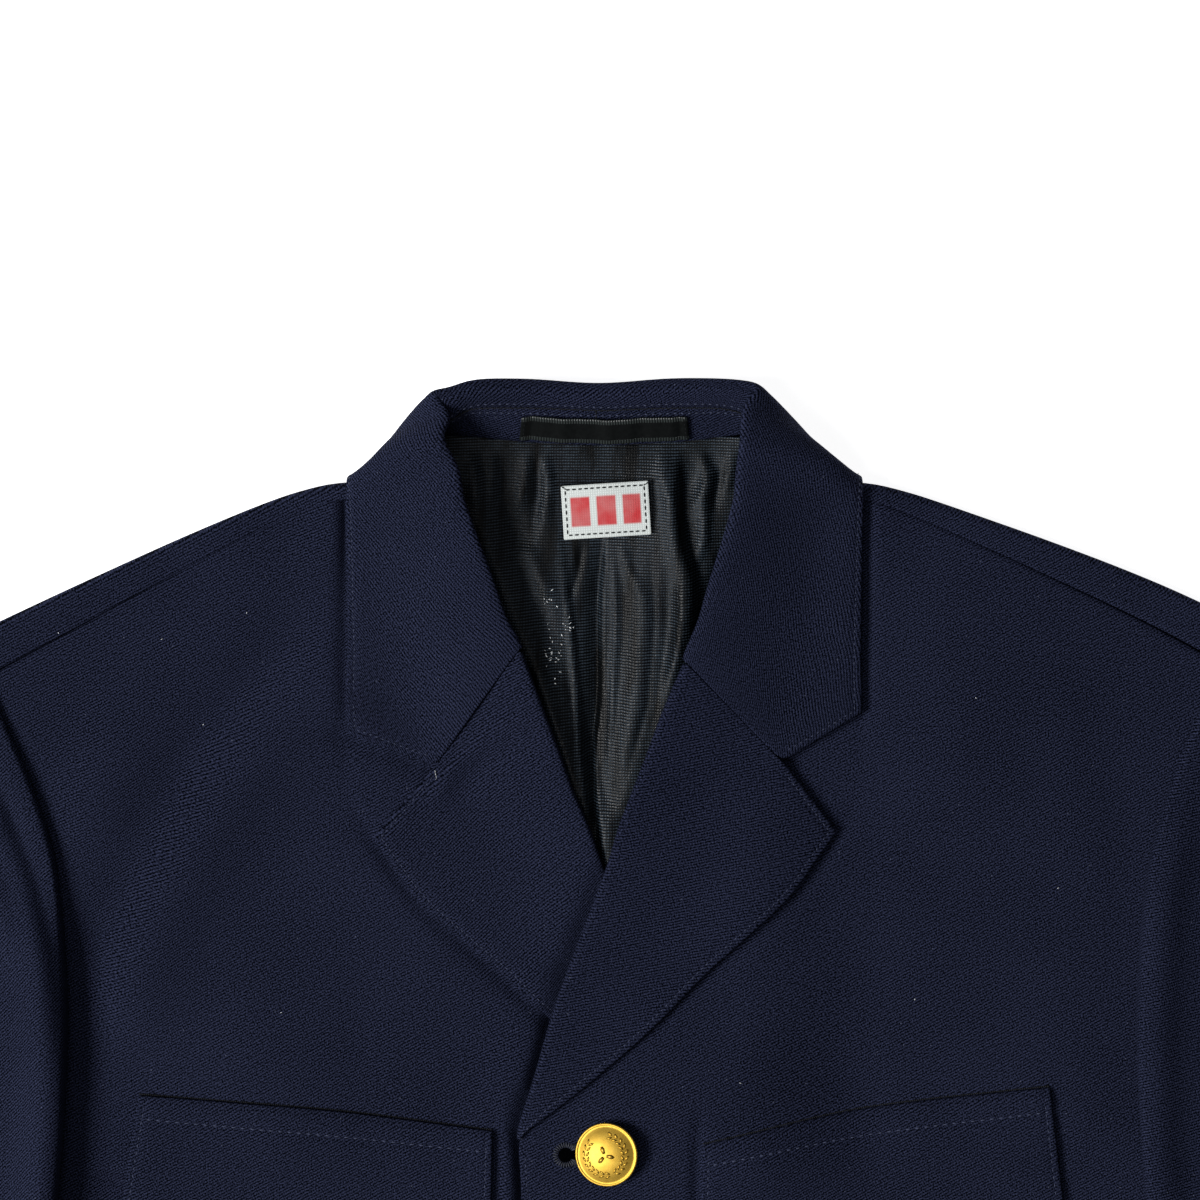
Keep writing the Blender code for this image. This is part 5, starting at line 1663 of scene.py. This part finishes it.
def build_button(number, finish):
    """A domed uniform button with a fine rim and a plain wreath of leaves."""
    bm = bmesh.new()
    outline = [bm.verts.new((r / 1000, 0, z / 1000)) for r, z in BUTTON_PROFILE]
    edges = [bm.edges.new(pair) for pair in zip(outline, outline[1:])]
    bmesh.ops.spin(bm, geom=outline + edges, cent=(0, 0, 0), axis=UP, angle=math.tau, steps=BUTTON_TURN_STEPS,
                   use_merge=True)
    bmesh.ops.remove_doubles(bm, verts=bm.verts, dist=MERGE_DISTANCE)
    bmesh.ops.recalc_face_normals(bm, faces=bm.faces)
    for i in range(LEAF_PAIRS):
        for side in (LEFT, RIGHT):
            angle = math.pi + side * (WREATH_START + i * WREATH_STEP)
            add_leaf(bm, angle, WREATH_RADIUS + 0.8, side * LEAF_LEAN)
            add_leaf(bm, angle, WREATH_RADIUS - 0.7, side * -LEAF_LEAN)
    for angle in (0.0, math.tau / 3, -math.tau / 3):
        add_leaf(bm, angle, TREFOIL_RADIUS, math.pi / 2, *TREFOIL_SIZE)
    lean, moved, turn = BUTTON_LEANS[number - 1]
    tilt = Matrix.Rotation(math.radians(lean), 4, LEAN_AXIS) @ Matrix.Rotation(turn, 4, "Z")
    spot = in_world(button_base(number) + Vector(moved))
    bmesh.ops.transform(bm, matrix=Matrix.Translation(spot) @ tilt, verts=bm.verts)
    name = f"wreath_button_{number}"
    return add_piece(name, mesh_from(bm, name), finish, f"button_{number}")


# of a buttonhole, from the middle of its button: its eye, the eye's radius, half the slit, and the slit's end
HOLE_EYE = -16.2
HOLE_EYE_RADIUS = 2.8
HOLE_HALF = 2.1
HOLE_END = 6.0
# where the slit meets the eye, from the eye's middle, and the angle that it takes from the eye's circle
HOLE_NECK = 2.2
HOLE_NECK_ANGLE = 0.5
# the whipping: distance between threads, how far out their middle is, their height and their size
WHIP_PITCH, WHIP_OUT, WHIP_RISE, WHIP_SIZE = 0.72, 1.1, 0.16, (2.5, 0.5, 0.9, 1)
SLIT_RISE, SLIT_THICKNESS = 0.06, 0.12


def build_buttonhole(number, stitch, dark):
    """A keyhole buttonhole: a slit with an eye at its end, whipped round with thread; the slit is a flat sheet
    painted dark as the shade in the hole.
    """
    base = button_base(number)

    def top(p, lift):
        y = base.y + p.y
        return in_world((p.x, y, front_height(p.x, y, LEFT) + FRONT_WALL / 2 + lift))

    eye = Vector((base.x + HOLE_EYE, 0))
    end_x = base.x + HOLE_END
    outline = [Vector((end_x, HOLE_HALF)), eye + Vector((HOLE_NECK, HOLE_HALF))]
    for a in steps(12, HOLE_NECK_ANGLE, math.tau - HOLE_NECK_ANGLE):
        outline.append(eye + Vector((math.cos(a), math.sin(a))) * HOLE_EYE_RADIUS)
    outline += [eye + Vector((HOLE_NECK, -HOLE_HALF)), Vector((end_x, -HOLE_HALF))]
    bm = bmesh.new()
    for a, b in zip(outline, outline[1:]):
        count = max(1, round((b - a).length / WHIP_PITCH))
        for k in range(count):
            p = a.lerp(b, (k + 0.5) / count)
            away = Vector((b.y - a.y, a.x - b.x)).normalized()
            if p.x <= eye.x + 2:
                away = (p - eye).normalized()
            elif away.y * p.y < 0:
                away = -away
            ahead, aside = Vector((away.x, away.y, 0)), Vector((-away.y, away.x, 0))
            turned = Matrix((ahead, aside, UP)).transposed().to_4x4()
            spot = Matrix.Translation(top(p + away * WHIP_OUT, WHIP_RISE))
            add_bead(bm, spot @ turned @ Matrix.Diagonal(WHIP_SIZE))
    add_piece(f"buttonhole_whipping_{number}", mesh_from(bm, "whipping"), stitch)
    # the slit: a thin flat sheet painted near black as the shade inside the hole
    bm = bmesh.new()
    face = bm.faces.new([bm.verts.new(top(p, SLIT_RISE)) for p in outline])
    bmesh.ops.recalc_face_normals(bm, faces=[face])
    if face.normal.z < 0:
        bmesh.ops.reverse_faces(bm, faces=[face])
    bmesh.ops.solidify(bm, geom=[face], thickness=SLIT_THICKNESS / 1000)
    add_piece(f"buttonhole_slit_{number}", mesh_from(bm, "slit", False), dark)


# --- loose threads and lint ---

# specks of lint on the fronts: x, y, angle
CLOTH_FLECKS = (
    (-134.0, -85.0, 1.1),
    (-166.0, -94.2, 0.4),
    (-205.0, -91.0, 1.9),
    (-150.5, -127.0, 0.9),
    (-190.0, -214.0, 2.4),
    (-121.0, -236.0, 0.3),
    (141.0, -118.0, 2.0),
    (172.0, -189.0, 0.7),
    (118.0, -231.0, 1.4),
    (52.0, -262.0, 2.8),
)
# frayed thread on the lining: middle x and y, spread in x and y, count
LINING_FRAYS = (
    (-20.5, -80.0, 1.6, 2.2, 7),
    (-13.6, -90.0, 1.4, 3.4, 9),
    (-20.2, -101.5, 1.0, 4.2, 10),
    (-16.4, -103.0, 0.9, 4.0, 10),
    (-18.5, -96.0, 2.2, 6.0, 6),
)
LAPEL_THREAD = ((-63.0, -144.5), (-62.4, -147.4), (-63.3, -150.6), (-62.7, -154.7))


def build_lint(white):
    """White specks of frayed thread on the lining."""
    rng = random.Random(50)
    bm = bmesh.new()
    for middle_x, middle_y, spread_x, spread_y, count in LINING_FRAYS:
        for _ in range(count):
            x, y = rng.gauss(middle_x, spread_x), rng.gauss(middle_y, spread_y)
            spot = in_world((x, y, lining_height(x, y) + LINING_WALL / 2 + 0.1))
            size = Matrix.Diagonal((rng.uniform(0.3, 1.3), rng.uniform(0.25, 0.5), 0.25, 1))
            placed = Matrix.Translation(spot) @ Matrix.Rotation(rng.uniform(0, math.pi), 4, "Z") @ size
            add_bead(bm, placed)
    add_piece("lining_frays", mesh_from(bm, "lining_frays", False), white)


def build_loose_threads(pale, black):
    """A few specks on the cloth, and three loose ends of thread."""

    def on_front(x, y, above):
        return Vector((x, y, front_height(x, y, LEFT if x > 0 else RIGHT) + above)), UP

    flecks = []
    for x, y, angle in CLOTH_FLECKS:
        ahead = Vector((math.cos(angle), math.sin(angle))) * 0.6
        flecks.append([on_front(x + ahead.x * t, y + ahead.y * t, FRONT_WALL / 2 + 0.15) for t in (-1, 1)])
    stitching("cloth_flecks", flecks, pale, pitch=1.2, length=0.9, width=0.28)
    on_lapel = LAPEL_OVER_FRONT + LAPEL_WALL / 2 + 0.2
    loose = [[on_front(x, y, on_lapel) for x, y in LAPEL_THREAD]]
    stitching("loose_thread_lapel", loose, pale, pitch=1.0, length=1.3, width=0.2)
    ends = []
    for u, v, out in ((-0.94, 0.92, -1), (0.96, 0.9, 1)):
        x, y, z = label_place(u, v)
        ends.append([(Vector((x + out * d, y + 0.7 * d, z + 0.6)), UP) for d in (-1.2, 0.0, 1.2, 2.4)])
    stitching("label_thread_ends", ends, black, pitch=0.9, length=1.2, width=0.5)


# --- stage ---

CAMERA_HEIGHT = 2.2
FRAME_WIDTH = 0.4528
FRAME_CENTRE = (-0.75, -80.4)
FOCUS_HEIGHT = 0.006
SENSOR_WIDTH = 36.0
FLOOR_DROP = 0.0002
FLOOR_SIZE = 2.5
WORLD_STRENGTH = 0.06
# name, place, size and power of each lamp, and the point that all are aimed at
LAMPS = (
    ("left_window", (-3.6, -0.8, 3.5), 1.9, 292.0),
    ("head_softbox", (-0.5, 1.9, 3.4), 1.4, 10.0),
    ("foot_softbox", (-0.5, -1.9, 3.4), 1.4, 16.0),
    ("right_window", (1.7, 0.5, 1.9), 1.2, 1.5),
)
LAMP_AIM = Vector((0, 0.2, 0))


def build_stage():
    centre = in_world((*FRAME_CENTRE, 0))
    bm = bmesh.new()
    bmesh.ops.create_grid(bm, x_segments=1, y_segments=1, size=FLOOR_SIZE)
    mesh = mesh_from(bm, "table_top", False)
    mesh.transform(Matrix.Translation((0, 0, -FLOOR_DROP)))
    floor = bpy.data.objects.new("table_top", mesh)
    floor.data.materials.append(pale_paper())
    bpy.context.scene.collection.objects.link(floor)

    camera = bpy.data.cameras.new("camera")
    camera.sensor_width = SENSOR_WIDTH
    camera.lens = SENSOR_WIDTH * (CAMERA_HEIGHT - FOCUS_HEIGHT) / FRAME_WIDTH
    camera.clip_end = 20.0
    made = bpy.data.objects.new("camera", camera)
    made.location = (centre.x, centre.y, CAMERA_HEIGHT)
    bpy.context.scene.collection.objects.link(made)
    bpy.context.scene.camera = made

    for name, place, size, power in LAMPS:
        light = bpy.data.lights.new(name, "AREA")
        light.size = size
        light.energy = power
        lamp = bpy.data.objects.new(name, light)
        lamp.location = place
        lamp.rotation_euler = (LAMP_AIM - Vector(place)).to_track_quat("-Z", "Y").to_euler()
        bpy.context.scene.collection.objects.link(lamp)

    world = bpy.data.worlds.new("studio")
    world.use_nodes = True
    background = world.node_tree.nodes["Background"]
    background.inputs["Color"].default_value = colour("#f4f6ff")
    background.inputs["Strength"].default_value = WORLD_STRENGTH
    bpy.context.scene.world = world
    bpy.context.scene.view_settings.view_transform = "Standard"


def main():
    build_stage()
    navy = navy_wool_twill()
    satin = black_lining_satin()
    ribbon = black_ribbon()
    tape = white_woven_tape()
    brass = gilt_brass()
    # navy thread, lighter than the cloth: its own navy, with painted sheen in its pale end
    navy_thread = thread("navy_sewing_thread", "#2b3047", "#4d5369")
    black_thread = thread("black_sewing_thread", "#060709", "#1b1d22")
    # black buttonhole twist whose grey pale end is painted glints
    twist_with_painted_glints = thread("buttonhole_twist", "#101116", "#555863")
    # painted shade for the flat slits of the buttonholes
    inside = shaded_inside()
    white_lint = thread("white_lint", "#c9cdd0", "#f2f4f5")

    sheets = {"back_panel": (build_back(navy), ())}
    sheets["back_lining"] = (build_lining(satin), ("back_panel",))
    for side, name in SIDES:
        front = build_front(side, name, navy, navy_thread)
        sheets[f"front_panel_{name}"] = (front, ("back_panel",))
        sheets[f"lapel_facing_{name}"] = (build_lapel(side, name, navy, navy_thread), (front.name,))
        sheets[f"chest_flap_{name}"] = (build_flap(side, name, navy, navy_thread, black_thread), (front.name,))
        sheets[f"top_sleeve_{name}"] = (build_sleeve_top(side, name, navy), (front.name,))
        sheets[f"under_sleeve_{name}"] = (build_sleeve_under(side, name, navy), (front.name,))
    leaf, stand = build_collar(navy, navy_thread, black_thread)
    sheets[leaf.name] = (leaf, ("front_panel_left", "front_panel_right"))
    sheets[stand.name] = (stand, ("back_panel",))
    loop = build_hanger_loop(ribbon, black_thread)
    sheets[loop.name] = (loop, (stand.name,))
    label = build_size_label(tape, black_thread)
    sheets[label.name] = (label, ("back_lining",))
    for number in range(1, BUTTON_COUNT + 1):
        build_button(number, brass)
        build_buttonhole(number, twist_with_painted_glints, inside)
    build_lint(white_lint)
    build_loose_threads(white_lint, black_thread)


main()
